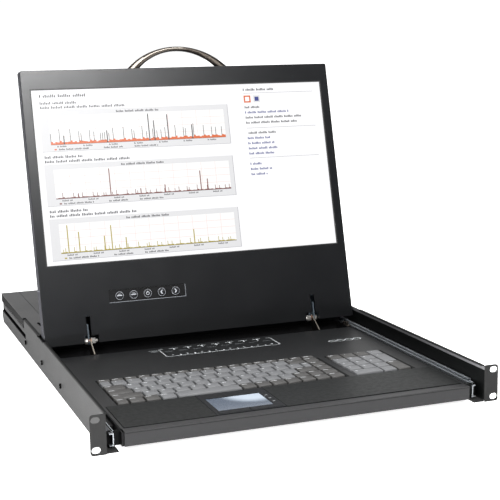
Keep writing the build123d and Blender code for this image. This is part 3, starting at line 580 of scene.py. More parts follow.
OUTFITS: dict[Finish, str] = {
    Finishes.RAIL: "side_rail_*",
    Finishes.ZINC: "slide_outer_* slide_middle_*",
    # Painted shade: the inner slide members in the darker copy of the zinc plating.
    Finishes.INNER_ZINC: "slide_inner_*",
    Finishes.CAGE: "ball_cage_outer_* ball_cage_inner_*",
    # Painted shade: the slide screws' flush heads in dead black, to read as shaded holes.
    Finishes.BLACK_SCREW: "slide_screws",
    Finishes.COVER_SCREW: "housing_screws lid_screws handle_screws",
    Finishes.COVER: "switch_housing switch_cover",
    Finishes.BOARD: "switch_board keyboard_controller display_board menu_board",
    Finishes.SHELL: "port_connectors",
    Finishes.CAN: "power_supply",
    Finishes.SOCKET: "power_inlet",
    Finishes.PAN: "slide_spacer_* tray_pan keyboard_base",
    Finishes.NOSE: "front_bezel",
    Finishes.DECK: "deck_plate",
    Finishes.PALM: "palm_rests",
    Finishes.TOUCH_FRAME: "touchpad_frame touchpad_button_*",
    Finishes.TOUCH: "touchpad_surface",
    Finishes.ARM: "hinge_arm_*",
    Finishes.BOLT: "hinge_bolt_*",
    Finishes.LID: "lid_front_panel lid_back_cover",
    Finishes.PAGE: "lcd_panel",
    Finishes.MENU: "menu_bezel",
    Finishes.LEAF: "lid_leaf_*",
    Finishes.HANDLE: "pull_handle",
}


def dress(nodes: dict[str, bpy.types.Object]) -> None:
    """Put the finishes on the nodes that come from the CAD model.

    Args:
        nodes: The CAD nodes by name. A star in an outfit stands for left and right.
    """
    for finish, stems in OUTFITS.items():
        names = {stem.replace("*", side) for stem in stems.split() for side, _ in SIDES}
        for name in sorted(names):
            for slot in nodes[name].material_slots:
                slot.material = finish.build()
            LOG.info("dressed %s in %s", name, finish.name)


class Place:
    """Where a piece is drawn: a frame of its own, in millimetres."""

    def __init__(self, origin: Point, right: Point, up: Point) -> None:
        """Keep the frame that goes from a drawing to the world.

        Args:
            origin: World point of the drawing's origin, in millimetres.
            right: World direction of the drawing's X.
            up: World direction of the drawing's Y. Its Z follows by the right-hand rule.
        """
        side, rise = Vector(right).normalized(), Vector(up).normalized()
        turn = Matrix((side, rise, side.cross(rise))).transposed().to_4x4()
        self.matrix = Matrix.Scale(MM, 4) @ Matrix.Translation(origin) @ turn


@dataclass(frozen=True)
class LidFrame:
    """The open lid's own frame, as the CAD model has it.

    Attributes:
        tilt: Degrees that the lid leans back.
        pin: World Y and Z of the hinge pin.
        pin_depth: Depth of the pin behind the lid's face.
    """

    tilt: float = 14.05
    pin: Spot = (348.8, 10.5)
    pin_depth: float = 7.2

    def face(self) -> Place:
        """Give the drawing frame on the lid's face.

        Returns:
            The frame: X right, Y up from the pin, Z out of the face.
        """
        lean, rise = math.sin(math.radians(self.tilt)), math.cos(math.radians(self.tilt))
        origin = Vector((0, *self.pin)) + Vector((0, -rise, lean)) * self.pin_depth
        return Place(tuple(origin), (1, 0, 0), (0, lean, rise))


GROUND = Place((0, 0, 0), (1, 0, 0), (0, 1, 0))


def linked_edges(verts: Iterable[bmesh.types.BMVert]) -> list[bmesh.types.BMEdge]:
    """Find the edges that hang on some vertices.

    Args:
        verts: Those vertices.

    Returns:
        Each edge once, in an order that is the same in every run.
    """
    return list(dict.fromkeys(edge for vert in verts for edge in vert.link_edges))


def linked_faces(verts: Iterable[bmesh.types.BMVert]) -> list[bmesh.types.BMFace]:
    """Find the faces that hang on some vertices.

    Args:
        verts: Those vertices.

    Returns:
        Each face once, in an order that is the same in every run.
    """
    return list(dict.fromkeys(face for vert in verts for face in vert.link_faces))


class Shape:
    """A mesh that is drawn in millimetres with bmesh operators and then becomes a piece."""

    def __init__(self, name: str, *finishes: Finish) -> None:
        """Start an empty drawing.

        Args:
            name: Name of the piece.
            finishes: Its finishes, in the order that the faces name them.
        """
        self.name = name
        self.finishes = finishes
        self.mesh = bmesh.new()

    def colour(self, verts: Iterable[bmesh.types.BMVert], finish: int) -> None:
        """Give the faces that use only some vertices one finish.

        Args:
            verts: Those vertices.
            finish: Index of the finish.
        """
        chosen = dict.fromkeys(verts)
        for face in linked_faces(chosen):
            if all(vert in chosen for vert in face.verts):
                face.material_index = finish

    def soften(self, edges: Iterable[bmesh.types.BMEdge], width: float, steps: int = 2) -> None:
        """Round some edges.

        Args:
            edges: Edges to round.
            width: Width of the rounding in millimetres.
            steps: Facets across it.
        """
        bmesh.ops.bevel(
            self.mesh,
            geom=list(edges),
            offset=width,
            offset_type="OFFSET",
            segments=steps,
            profile=0.5,
            affect="EDGES",
            clamp_overlap=True,
            material=-1,
        )

    def block(
        self, low: Point, high: Point, edge: float = 0.0, draft: float = 0.0, finish: int = 0
    ) -> None:
        """Add a box, with rounded edges and sloping sides if asked.

        Args:
            low: One corner.
            high: The corner across from it.
            edge: Rounding of its edges.
            draft: How far each side leans in towards the top.
            finish: Index of its finish.
        """
        made = bmesh.ops.create_cube(self.mesh, size=1)["verts"]
        size = [abs(top - bottom) for bottom, top in zip(low, high)]
        middle = [(top + bottom) / 2 for bottom, top in zip(low, high)]
        bmesh.ops.scale(self.mesh, vec=size, verts=made)
        if draft:
            upper = [vert for vert in made if vert.co.z > 0]
            slope = (1 - 2 * draft / size[0], 1 - 2 * draft / size[1], 1)
            bmesh.ops.scale(self.mesh, vec=slope, verts=upper)
        bmesh.ops.translate(self.mesh, vec=middle, verts=made)
        self.colour(made, finish)
        if edge:
            self.soften(linked_edges(made), edge)

    def rod(
        self,
        start: Point,
        length: float,
        radius: float,
        sides: int = 32,
        tip: Optional[float] = None,
        finish: int = 0,
        edge: float = 0.0,
    ) -> None:
        """Add a round bar or cone that stands on a point and goes along the drawing's Z.

        Args:
            start: Middle of its foot.
            length: Its length.
            radius: Radius at the foot.
            sides: Number of sides.
            tip: Radius at the top, the same as the foot's if left out.
            finish: Index of its finish.
            edge: Rounding of its top edge.
        """
        top = radius if tip is None else tip
        made = bmesh.ops.create_cone(
            self.mesh,
            cap_ends=True,
            cap_tris=False,
            segments=sides,
            radius1=radius,
            radius2=top,
            depth=length,
        )["verts"]
        bmesh.ops.translate(self.mesh, vec=(start[0], start[1], start[2] + length / 2), verts=made)
        self.colour(made, finish)
        if edge:
            height = start[2] + length - length / 100
            rim = [link for link in linked_edges(made) if all(end.co.z > height for end in link.verts)]
            self.soften(rim, edge)

    def washer(
        self, start: Point, length: float, inner: float, outer: float, sides: int = 40, finish: int = 0
    ) -> None:
        """Add a flat ring that stands on a point and goes along the drawing's Z.

        Args:
            start: Middle of its foot.
            length: Its thickness.
            inner: Radius of its hole.
            outer: Radius of its rim.
            sides: Number of sides.
            finish: Index of its finish.
        """
        rim = bmesh.ops.create_circle(self.mesh, cap_ends=True, segments=sides, radius=outer)["verts"]
        disc = rim[0].link_faces[0]
        ring = bmesh.ops.inset_region(
            self.mesh, faces=[disc], thickness=outer - inner, use_even_offset=True, use_boundary=True
        )["faces"]
        bmesh.ops.delete(self.mesh, geom=[disc], context="FACES")
        below = dict.fromkeys(vert for face in ring for vert in face.verts)
        grown = bmesh.ops.extrude_face_region(self.mesh, geom=ring)["geom"]
        above = [item for item in grown if isinstance(item, bmesh.types.BMVert)]
        bmesh.ops.translate(self.mesh, vec=(0, 0, length), verts=above)
        made = list(dict.fromkeys([*below, *above]))
        bmesh.ops.translate(self.mesh, vec=start, verts=made)
        self.colour(made, finish)
        bmesh.ops.recalc_face_normals(self.mesh, faces=linked_faces(made))

    def card(self, low: Spot, high: Spot, height: float, thickness: float = 0.05, finish: int = 0) -> None:
        """Add a thin flat plate.

        Args:
            low: X and Y of one corner.
            high: X and Y of the corner across from it.
            height: Z of its top face.
            thickness: How far it goes down from there.
            finish: Index of its finish.
        """
        self.block((*low, height - thickness), (*high, height), finish=finish)

    def border(
        self, low: Spot, high: Spot, width: float, height: float, strips: Sequence[tuple[float, int]]
    ) -> None:
        """Add a thin border round a rectangle.

        Args:
            low: Lowest X and Y of the rectangle.
            high: Highest X and Y of it.
            width: Width of the border.
            height: Z of its top.
            strips: Thickness and finish of its lower, upper, left and right strip.
        """
        corners = (
            ((low[0] - width, low[1] - width), (high[0] + width, low[1])),
            ((low[0] - width, high[1]), (high[0] + width, high[1] + width)),
            ((low[0] - width, low[1]), (low[0], high[1])),
            ((high[0], low[1]), (high[0] + width, high[1])),
        )
        for (start, end), (thickness, finish) in zip(corners, strips):
            self.card(start, end, height, thickness, finish)

    def words(self, text: str, centre: Point, size: float) -> None:
        """Add a short mark in the plain built-in type, flat on the drawing.

        Args:
            text: What it says.
            centre: Middle of the mark, and its Z.
            size: Height of a capital, in millimetres.
        """
        curve = bpy.data.curves.new(self.name + "_mark", "FONT")
        curve.body = text
        curve.size = size * 1.42
        curve.align_x = "CENTER"
        curve.align_y = "CENTER"
        curve.resolution_u = 2
        holder = bpy.data.objects.new(self.name + "_mark", curve)
        flat = bpy.data.meshes.new_from_object(holder)
        before, count = len(self.mesh.faces), len(self.mesh.verts)
        self.mesh.from_mesh(flat)
        self.mesh.verts.ensure_lookup_table()
        self.mesh.faces.ensure_lookup_table()
        bmesh.ops.translate(self.mesh, vec=centre, verts=self.mesh.verts[count:])
        for face in self.mesh.faces[before:]:
            face.material_index = 0
        bpy.data.objects.remove(holder)
        bpy.data.curves.remove(curve)
        bpy.data.meshes.remove(flat)

    def fill(self, data: bpy.types.Mesh) -> None:
        """Write the faces into a mesh in the order of their corners, as a bevel's own order varies by run.

        Args:
            data: Mesh to fill.
        """
        rings = []
        for face in self.mesh.faces:
            points = [vert.co.to_tuple() for vert in face.verts]
            verts = [vert.index for vert in face.verts]
            first = points.index(min(points))
            points, verts = points[first:] + points[:first], verts[first:] + verts[:first]
            rings.append((points, verts, face.material_index))
        rings.sort(key=lambda ring: ring[0])
        spots: dict[int, Point] = {}
        for points, verts, _ in rings:
            for vert, point in zip(verts, points):
                spots.setdefault(vert, point)
        numbers = {vert: number for number, vert in enumerate(spots)}
        data.from_pydata(list(spots.values()), [], [[numbers[vert] for vert in ring[1]] for ring in rings])
        for polygon, ring in zip(data.polygons, rings):
            polygon.material_index = ring[2]
            polygon.use_smooth = True

    def become(
        self, place: Place, body: str, slot: Optional[str] = None, smooth: float = 35.0
    ) -> bpy.types.Object:
        """Turn the drawing into a piece that rides on a body.

        Args:
            place: Frame that the drawing was made in.
            body: Body that the piece rides on.
            slot: Material slot of the record; not used.
            smooth: Angle in degrees under which edges are shaded smooth.

        Returns:
            The finished piece.
        """
        bmesh.ops.transform(self.mesh, matrix=place.matrix, verts=self.mesh.verts)
        self.mesh.verts.index_update()
        data = bpy.data.meshes.new(self.name)
        for finish in self.finishes:
            data.materials.append(finish.build())
        self.fill(data)
        self.mesh.free()
        data.set_sharp_from_angle(angle=math.radians(smooth))
        piece = bpy.data.objects.new(self.name, data)
        bpy.context.scene.collection.objects.link(piece)
        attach(piece, body)
        LOG.info("made %s", self.name)
        return piece


@dataclass
class Chassis:
    """Rails, slides and the switch housing, which stay in the rack.

    Attributes:
        rail_x: Half the width over the rails.
        rail_sheet: Thickness of their sheet.
        screw_y: Where the slide's screws stand along the rail.
        screw_z: Height of those screws.
        ports: Places of the ports along the rear panel.
        port_z: Height of the ports.
        slot: Front, rear, lower and upper edge of the dead-black strips of painted shade behind the bracket
            slots.
        lip_z: Top of the rails' top lips.
        lip_runs: Front and rear of each of those lips.
        slide_z: Top of the slides.
        slide_y: Front of the outer and the inner members, and where the lid hides their rear.
        rear_y: The rear panel's outer face.
        film: Thickness of thin skins over the metal.
    """

    rail_x: float = 223.0
    rail_sheet: float = 1.5
    screw_y: tuple[float, ...] = (221.0, 336.7, 452.4)
    screw_z: float = -8.0
    ports: tuple[float, ...] = tuple(-30.0 + 31.5 * number for number in range(8))
    port_z: float = -2.0
    slot: tuple[float, float, float, float] = (457.0, 654.0, -4.1, 2.7)
    lip_z: float = 21.5
    lip_runs: tuple[Spot, ...] = ((5.0, 324.0), (369.0, 464.5))
    slide_z: float = -1.2
    slide_y: Point = (31.1, 11.1, 364.0)
    rear_y: float = 658.0
    film: float = 0.06

    def wall(self, side: int, depth: float, facing: int = 1) -> Place:
        """Drawing frame on a rail's web: X along the rail, Y up, Z out of the web.

        Args:
            side: Which rail, -1 or 1.
            depth: How far inside the rail's outer face it lies.
            facing: 1 if its Z points outwards, -1 if it points inwards.

        Returns:
            The frame. Its X runs to the rear on one side and to the front on the other.
        """
        return Place((side * (self.rail_x - depth), 0, 0), (0, facing * side, 0), (0, 0, 1))

    def linings(self) -> None:
        """Painted shade inside the rails with a grey band of painted light under their top lips, painted
        shade on the lips' inner edges and over the far half of the outer slides' tops, and the rails' folded
        toes.
        """
        front, rear, toe_rear = 1.6, 464.0, 30.8
        floor, middle, band, ceiling = -19.9, -0.9, 15.8, 19.9
        for name, side in SIDES:
            # Painted shade on the rail's inner web, and a grey band of painted light just under the lip.
            shape = Shape(f"rail_lining_{name}", Finishes.LINING, Finishes.RAIL_BAND)
            shape.card((-side * front, middle), (-side * rear, band), 0.1, 0.14)
            shape.card((-side * front, band), (-side * rear, ceiling), 0.1, 0.14, finish=1)
            shape.card((-side * front, floor), (-side * toe_rear, middle), 0.1, 0.14)
            shape.become(self.wall(side, self.rail_sheet, -1), Body.CHASSIS.value, "rail_paint")
            # Painted shade along the lips' inner edges and over the far half of the outer slide's top.
            edge = Shape(f"rail_lip_edge_{name}", Finishes.LINING)
            for start, end in self.lip_runs:
                edge.card((side * 218.85, start), (side * 221.2, end), self.lip_z + 0.03, self.film)
            edge.card((side * 219.7, 31.2), (side * 221.4, self.slide_y[2]), self.slide_z + 0.03, self.film)
            edge.become(GROUND, Body.CHASSIS.value, "rail_paint")
            toe = Shape(f"rail_toe_{name}", Finishes.RAIL)
            toe.block((side * 208.4, 1.7, -21.45), (side * 221.4, 34.0, -20.2), 0.3)
            toe.become(GROUND, Body.CHASSIS.value, "rail_paint")

    def slide_trim(self) -> None:
        """Rubber bumpers, painted highlights and a strip of painted shade on the slides' lips, and lighter
        matt skins of painted light on the cover's sides.
        """
        outer, inner, rear = self.slide_y
        height = self.slide_z + 0.03
        for name, side in SIDES:
            shape = Shape(f"slide_bumper_{name}", Finishes.BUMPER)
            shape.block((side * 213.0, 17.2, -18.4), (side * 219.4, 20.1, -2.8), 0.6)
            shape.become(GROUND, f"slide_middle_{name}", "zinc_steel")
            # Painted light: a lighter matt skin on the cover's side.
            flank = Shape(f"cover_flank_{name}", Finishes.COVER_FLANK)
            flank.block((side * 222.98, 474.6, 9.8), (side * 223.06, 655.4, 21.1))
            flank.become(GROUND, Body.CHASSIS.value, "cover_paint")
            # Painted highlight along the outer slide's lip edge.
            lip = Shape(f"outer_lip_edge_{name}", Finishes.BURNISHED)
            lip.card((side * 218.95, outer), (side * 219.65, rear), height, self.film)
            lip.become(GROUND, Body.CHASSIS.value, "zinc_steel")
            # Painted highlight along the inner slide's lip edge, with a strip of painted shade beside it.
            lip = Shape(f"inner_lip_edge_{name}", Finishes.BURNISHED, Finishes.LINING)
            lip.card((side * 211.45, inner), (side * 212.15, rear), height, self.film)
            lip.card((side * 212.2, inner), (side * 213.9, rear), height, self.film, finish=1)
            lip.become(GROUND, Body.DRAWER.value, "zinc_steel")

    def screw_heads(self) -> None:
        """Round screw heads with cross recesses on the outside of both rails; the heads are dead black,
        painted shade for their countersinks.
        """
        long, short = 1.4, 0.28
        for name, side in SIDES:
            shape = Shape(f"rail_screw_heads_{name}", Finishes.COVER_SCREW, Finishes.BLACK_SCREW)
            for along in self.screw_y:
                x, y = side * along, self.screw_z
                # The head in dead black: painted shade of its countersink.
                shape.rod((x, y, -0.1), 2.0, 3.1, finish=1, edge=0.9)
                for across, up in ((short, long), (long, short)):
                    shape.card((x - across, y - up), (x + across, y + up), 1.93)
            shape.become(self.wall(side, 0), Body.CHASSIS.value)

    def slot_strips(self) -> None:
        """Dead-black strips inside the bracket slots: painted shade, so that the slots look dark."""
        front, rear, low, high = self.slot
        for name, side in SIDES:
            shape = Shape(f"bracket_slot_strip_{name}", Finishes.BLACK_SCREW)
            shape.card((side * front, low), (side * rear, high), 0, 0.12)
            shape.become(self.wall(side, 1.33), Body.CHASSIS.value, "rail_paint")

    def port_faces(self) -> None:
        """Blue faces inside the port shells with their pin holes, and the ends of the jack posts with their
        threaded holes; the holes are dark discs of painted shade.
        """
        half_width, half_height, reach, post = 6.8, 3.1, 5.4, 12.5
        shape = Shape("port_faces", Finishes.PORT_FACE, Finishes.SOCKET, Finishes.SHELL)
        for x in self.ports:
            low = (-x - half_width, self.port_z - half_height, 0)
            shape.block(low, (-x + half_width, self.port_z + half_height, reach), 0.5)
            for row in (-1, 0, 1):
                for column in range(-2, 3):
                    place = (-x + column * 2.3 + row * 0.5, self.port_z + row * 1.9, reach - 0.05)
                    # Pin hole as a dark disc: painted shade.
                    shape.rod(place, 0.1, 0.45, 10, finish=1)
            for side in (-1, 1):
                foot = (-x + side * post, self.port_z, 4.9)
                # Threaded hole as a dark disc: painted shade.
                shape.rod(foot, 0.12, 1.3, 16, finish=1)
                shape.washer(foot, 0.4, 1.3, 1.9, 20, 2)
        place = Place((0, self.rear_y, 0), (-1, 0, 0), (0, 0, 1))
        shape.become(place, Body.CHASSIS.value, "port_shell")

    def build(self) -> None:
        """Make the chassis pieces."""
        self.linings()
        self.slide_trim()
        self.screw_heads()
        self.slot_strips()
        self.port_faces()


@dataclass
class Tray:
    """The drawer's tray: bezel, deck with its prints, palm rests and touchpad.

    Attributes:
        deck_z: Top of the deck.
        palm_z: Top of the palm rests.
        prints_y: Front and rear of the port labels' row.
        prints_x: Left and right of that row.
        lamps_x: Middle of each lock lamp.
        lamps_y: Distance of the lamps from the front.
        touch: Right and front edge of the touchpad's surface.
        key_right: Right edges of the openings for the keyboard and the keypad.
        key_run: Front and rear of the painted shade in the gaps beside the keys.
    """

    deck_z: float = -1.0
    palm_z: float = -0.2
    prints_y: Spot = (272.0, 311.0)
    prints_x: Spot = (-75.7, 79.3)
    lamps_x: tuple[float, ...] = (148.1, 160.0, 171.9, 183.8)
    lamps_y: float = 258.0
    touch: Spot = (-27.7, 28.5)
    key_right: Spot = (92.75, 180.25)
    key_run: Spot = (95.4, 189.0)

    def oval(self, shape: Shape, centre: Spot, half: Spot, line: float) -> None:
        """Draw a printed ring with round ends on the deck.

        Args:
            shape: Drawing to add to.
            centre: Its middle.
            half: Half its width and depth.
            line: Width of the line.
        """
        rim = bmesh.ops.create_circle(shape.mesh, cap_ends=True, segments=32, radius=half[1])["verts"]
        stretch = half[0] - half[1]
        for vert in rim:
            vert.co.x += math.copysign(stretch, vert.co.x) if abs(vert.co.x) > 0.001 else 0
        disc = rim[0].link_faces[0]
        bmesh.ops.inset_region(
            shape.mesh, faces=[disc], thickness=line, use_even_offset=True, use_boundary=True
        )
        inner = list(disc.verts)
        bmesh.ops.delete(shape.mesh, geom=[disc], context="FACES")
        made = [vert for vert in dict.fromkeys([*rim, *inner]) if vert.is_valid]
        bmesh.ops.translate(shape.mesh, vec=(*centre, self.deck_z + 0.04), verts=made)

    def deck_prints(self) -> None:
        """Label row for eight ports, with its numbers, and the lock lamps in their ovals."""
        ports, line = 8, 0.9
        shape = Shape("deck_prints", Finishes.PRINT, Finishes.LAMP, Finishes.FAINT_PRINT)
        left, right = self.prints_x
        front, rear = self.prints_y
        width = (right - left) / ports
        top = self.deck_z + 0.04
        for number in range(ports + 1):
            x = left + number * width
            dash = (max(left, x - 0.3 * width), min(right, x + 0.3 * width))
            shape.card((dash[0], rear - line), (dash[1], rear), top)
            shape.card((x - line, rear - 7.5), (x + line, rear - line), top)
            shape.card((x - line, front + line), (x + line, front + 6), top)
            if number < ports:
                shape.card((x + line, front), (x + width - line, front + line), top)
                shape.card((x + 0.2 * width, rear - 14.0), (x + 0.8 * width, rear - 13.2), top, finish=2)
                shape.words(str(number + 1), (x + width / 2, front + 6.5, self.deck_z + 0.03), 4.6)
        for x in (right, left):
            shape.card((x - line / 2, front), (x + line / 2, rear), top)
        for bar, reach in enumerate((11.5, 8.0, 10.0)):
            low = rear - 4.0 - 3.0 * bar
            shape.card((left - 3.0 - reach, low), (left - 3.0, low + 1.5), top, finish=2)
        for x in self.lamps_x:
            self.oval(shape, (x, self.lamps_y), (5.6, 4.4), line)
            shape.rod((x, self.lamps_y, self.deck_z - 0.05), 0.35, 1.2, 20, finish=1, edge=0.15)
        shape.become(GROUND, Body.DRAWER.value, "deck_paint")

    def edges(self) -> None:
        """Painted shade: black lines in the bezel's groove, at the deck's sides and beside the keys, and
        black end blocks in the shaded gaps at the tray's front corners.
        """
        groove = Shape("bezel_groove", Finishes.LINING)
        groove.card((-201.4, -3.0), (201.4, -2.4), 0.03, 0.06)
        groove.become(Place((0, 2, 0), (1, 0, 0), (0, 0, 1)), Body.DRAWER.value, "bezel_paint")
        edge = Shape("deck_edges", Finishes.LINING)
        for _, side in SIDES:
            edge.card((side * 202.7, 14.7), (side * 204.3, 320.8), self.deck_z + 0.03)
        for right in self.key_right:
            edge.card((right, self.key_run[0]), (right + 3.8, self.key_run[1]), self.deck_z + 0.03)
        edge.become(GROUND, Body.DRAWER.value, "deck_paint")
        for name, side in SIDES:
            # Painted shade: a dead-black block in the gap at the tray's front corner.
            plate = Shape(f"tray_end_plate_{name}", Finishes.LINING)
            plate.block((side * 204.45, 12.0, -17.2), (side * 211.2, 13.2, -1.4), 0.3)
            plate.become(GROUND, Body.DRAWER.value, "tray_paint")

    def bolts(self) -> None:
        """Hinge bolts: head, washers, nut and the rounded end of the thread; the head's hex recess is a dark
        disc of painted shade.
        """
        thread, washer = 2.3, 4.7
        for name, side in SIDES:
            shape = Shape(f"hinge_bolt_{name}_fine", Finishes.BOLT, Finishes.BRASS, Finishes.SOCKET)
            shape.rod((0, 0, 149.0), 12.4, thread, 24)
            shape.rod((0, 0, 147.2), 3.0, 2.2, 24, tip=3.1, edge=0.2)
            shape.rod((0, 0, 149.6), 0.9, 3.2, 6, tip=4.2)
            shape.rod((0, 0, 150.5), 5.1, 4.25, 6, edge=0.5)
            for start, length in ((155.7, 1.1), (158.4, 0.5), (160.5, 0.5)):
                shape.washer((0, 0, start), length, thread, washer, 32, 1)
            shape.rod((0, 0, 161.1), 3.9, 4.2, tip=3.6, edge=1.1)
            # Hex recess as a dark disc: painted shade.
            shape.rod((0, 0, 164.9), 0.12, 1.5, 6, finish=2)
            place = Place((0, *LidFrame.pin), (0, side, 0), (0, 0, 1))
            piece = shape.become(place, Body.DRAWER.value, "screw_steel")
            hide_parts(f"hinge_bolt_{name}")

    def catches(self) -> None:
        """Small catches beside the tray's rear corners: a base, two prongs and a stud."""
        base, top = -3.2, -2.0
        for name, side in SIDES:
            shape = Shape(f"tray_catch_{name}", Finishes.ARM)
            low, high = sorted((side * 204.6, side * 210.6))
            shape.block((low, 332, base), (high, 352, top), 0.3)
            shape.block((low + 0.8, 338, top), (high - 0.8, 341, 2.2), 0.5)
            shape.block((low + 0.8, 346, top), (high - 0.8, 349, 1.2), 0.5)
            shape.rod(((low + high) / 2, 335, top), 0.8, 1.8, 20, edge=0.3)
            shape.become(GROUND, Body.DRAWER.value, "zinc_steel")

    def touchpad_marks(self) -> None:
        """Scroll marks along the touchpad's right side."""
        right, front = self.touch
        shape = Shape("touchpad_marks", Finishes.PRINT)
        for step in range(3):
            y = front + 10 + step * 12
            shape.card((right + 3.4, y), (right + 6.4, y + 0.7), self.palm_z + 0.03)
        shape.become(GROUND, Body.DRAWER.value, "touch_frame")

    def build(self) -> None:
        """Make the tray's pieces."""
        self.deck_prints()
        self.edges()
        self.bolts()
        self.catches()
        self.touchpad_marks()


@dataclass(frozen=True)
class KeyRow:
    """One row of keys.

    Attributes:
        name: Node of the CAD model that the row stands for.
        place: How many rows are in front of it.
        shares: Widths of the keys as shares of the pitch, from the left.
        marks: One sign for each key, or a blank where it has a bar.
        dark: Indexes of the dark keys.
        skip: Indexes of places that hold no key of this row.
    """

    name: str
    place: int
    shares: tuple[float, ...]
    marks: str
    dark: frozenset[int] = frozenset()
    skip: frozenset[int] = frozenset()


ONE = (1.0,)
ROWS = (
    KeyRow(
        "key_row_bottom",
        0,
        (0.8, 1, 1, 1, 4.2) + ONE * 7,
        " " * 12,
        frozenset({0, 1, 2, 5, 6, 7, 8, 9, 10, 11}),
        frozenset({4}),
    ),
    KeyRow("space_bar", 0, (3.8, 4.2, 7.0), "   ", skip=frozenset({0, 2})),
    KeyRow("key_row_lower", 1, (2.0,) + ONE * 13, " ZXCVBNM,./   ", frozenset({0, 11, 12, 13})),
    KeyRow("key_row_home", 2, (1.6,) + ONE * 11 + (1.4, 1.0), " ASDFGHJKL;'  ", frozenset({0, 12, 13})),
    KeyRow("key_row_upper", 3, (1.4,) + ONE * 12 + (0.6, 1.0), " QWERTYUIOP[]  ", frozenset({0, 14})),
    KeyRow("key_row_number", 4, (0.75,) + ONE * 12 + (1.25, 1.0), "`1234567890-=  ", frozenset({13, 14})),
    KeyRow("key_row_function", 5, (15 / 17,) * 17, " " * 17, frozenset(range(17))),
)


@dataclass
class Keyboard:
    """Keyboard and keypad, as caps with sloping sides and white marks.

    Attributes:
        pitch: Width and depth of a plain key's place.
        function_depth: Depth of the rearmost row.
        left: X of the keyboard's left edge.
        front: Y of its front edge.
        pad_left: X of the keypad's left edge.
        top: Z of the caps' tops.
        under: Z of the caps' undersides.
        foot: Z of the stems' lower ends.
        stem: Half the width of a stem.
        gap: Gap between caps.
    """

    pitch: float = 18.5
    function_depth: float = 10.0
    left: float = -185.5
    front: float = 96.0
    pad_left: float = 105.5
    top: float = 0.6
    under: float = -2.4
    foot: float = -6.2
    stem: float = 1.8
    gap: float = 1.3

    def cap(self, shape: Shape, low: Spot, high: Spot, finish: int) -> None:
        """Add one key cap with its stem.

        Args:
            shape: Drawing to add to.
            low: Lowest X and Y of the key's place.
            high: Highest X and Y of it.
            finish: Index of its finish.
        """
        half = self.gap / 2
        start = (low[0] + half, low[1] + half, self.under)
        shape.block(start, (high[0] - half, high[1] - half, self.top), 0.55, 0.7, finish)
        x, y = (low[0] + high[0]) / 2, (low[1] + high[1]) / 2
        shape.block(
            (x - self.stem, y - self.stem, self.foot), (x + self.stem, y + self.stem, self.under), finish=1
        )

    def mark(self, shape: Shape, text: str, low: Spot, high: Spot) -> None:
        """Add a key's mark at the upper left of its top, or a short bar where a real key has a word.

        Args:
            shape: Drawing to add to.
            text: The mark, blank for a bar.
            low: Lowest X and Y of the key's place.
            high: Highest X and Y of it.
        """
        height = self.top + 0.03
        if text.strip():
            shape.words(text, (low[0] + 6.0, high[1] - 6.2, height), 3.8)
            return
        x, y = low[0] + self.gap + 1.4, high[1] - self.gap - 3.8
        shape.card((x, y), (min(x + 6.5, high[0] - 2.2), y + 1.0), height)

    def shapes(self, stem: str) -> tuple[Shape, Shape]:
        """Start two drawings for some keys.

        Args:
            stem: Name that both pieces begin with.

        Returns:
            The drawing of the caps and the one of their marks.
        """
        caps = Shape(f"{stem}_caps", Finishes.KEY_LIGHT, Finishes.KEY_DARK)
        return caps, Shape(f"{stem}_marks", Finishes.LEGEND)

    def row(self, row: KeyRow) -> None:
        """Make one row of keys and its marks.

        Args:
            row: The row.
        """
        caps, marks = self.shapes(row.name)
        left, front = self.left, self.front + row.place * self.pitch
        depth = self.function_depth if row.name == "key_row_function" else self.pitch
        for index, share in enumerate(row.shares):
            low, high = (left, front), (left + share * self.pitch, front + depth)
            left = high[0]
            if index in row.skip:
                continue
            self.cap(caps, low, high, int(index in row.dark))
            if row.name != "space_bar":
                self.mark(marks, row.marks[index], low, high)
        slot = "key_dark" if len(row.dark) > len(row.shares) / 2 else "key_light"
        piece = caps.become(GROUND, row.name, slot)
        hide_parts(row.name)
        if len(marks.mesh.verts):
            marks.become(GROUND, row.name, slot)
        else:
            marks.mesh.free()

    def keypad(self) -> None:
        """Make the keypad's keys, each with its column, row, width, depth, mark and finish."""
        caps, marks = self.shapes("keypad")
        digits = [(column, row) for row in range(3) for column in range(3)]
        keys = [(column, 1 + row, 1, 1, str(1 + column + 3 * row), 0) for column, row in digits]
        keys += [(0, 0, 2, 1, "0", 0), (2, 0, 1, 1, ".", 0), (3, 0, 1, 2, "", 1), (3, 2, 1, 2, "+", 0)]
        keys += [(0, 4, 1, 1, "", 1), (1, 4, 1, 1, "/", 1), (2, 4, 1, 1, "*", 1), (3, 4, 1, 1, "-", 0)]
        for column, row, wide, deep, text, finish in keys:
            low = (self.pad_left + column * self.pitch, self.front + row * self.pitch)
            high = (low[0] + wide * self.pitch, low[1] + deep * self.pitch)
            self.cap(caps, low, high, finish)
            self.mark(marks, text, low, high)
        piece = caps.become(GROUND, "keypad_keys", "key_light")
        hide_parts("keypad_keys")
        marks.become(GROUND, "keypad_keys", "key_light")

    def build(self) -> None:
        """Make every row of keys and the keypad."""
        for row in ROWS:
            self.row(row)
        self.keypad()


class Ink(IntEnum):
    """Finishes of the screen's page, in the order that its faces name them."""

    PAGE = 0
    PANEL = 1
    CHART = 2
    TEXT = 3
    LINK = 4
    GRID = 5
    ORANGE = 6
    MAROON = 7
    OLIVE = 8
    RULE = 9


class Layer(Enum):
    """Heights of the page's layers over its surface, in millimetres."""

    PLAIN = 0.0
    FIELD = 0.02
    GRID = 0.03
    DATA = 0.04
    TIP = 0.05
    PEAK = 0.06


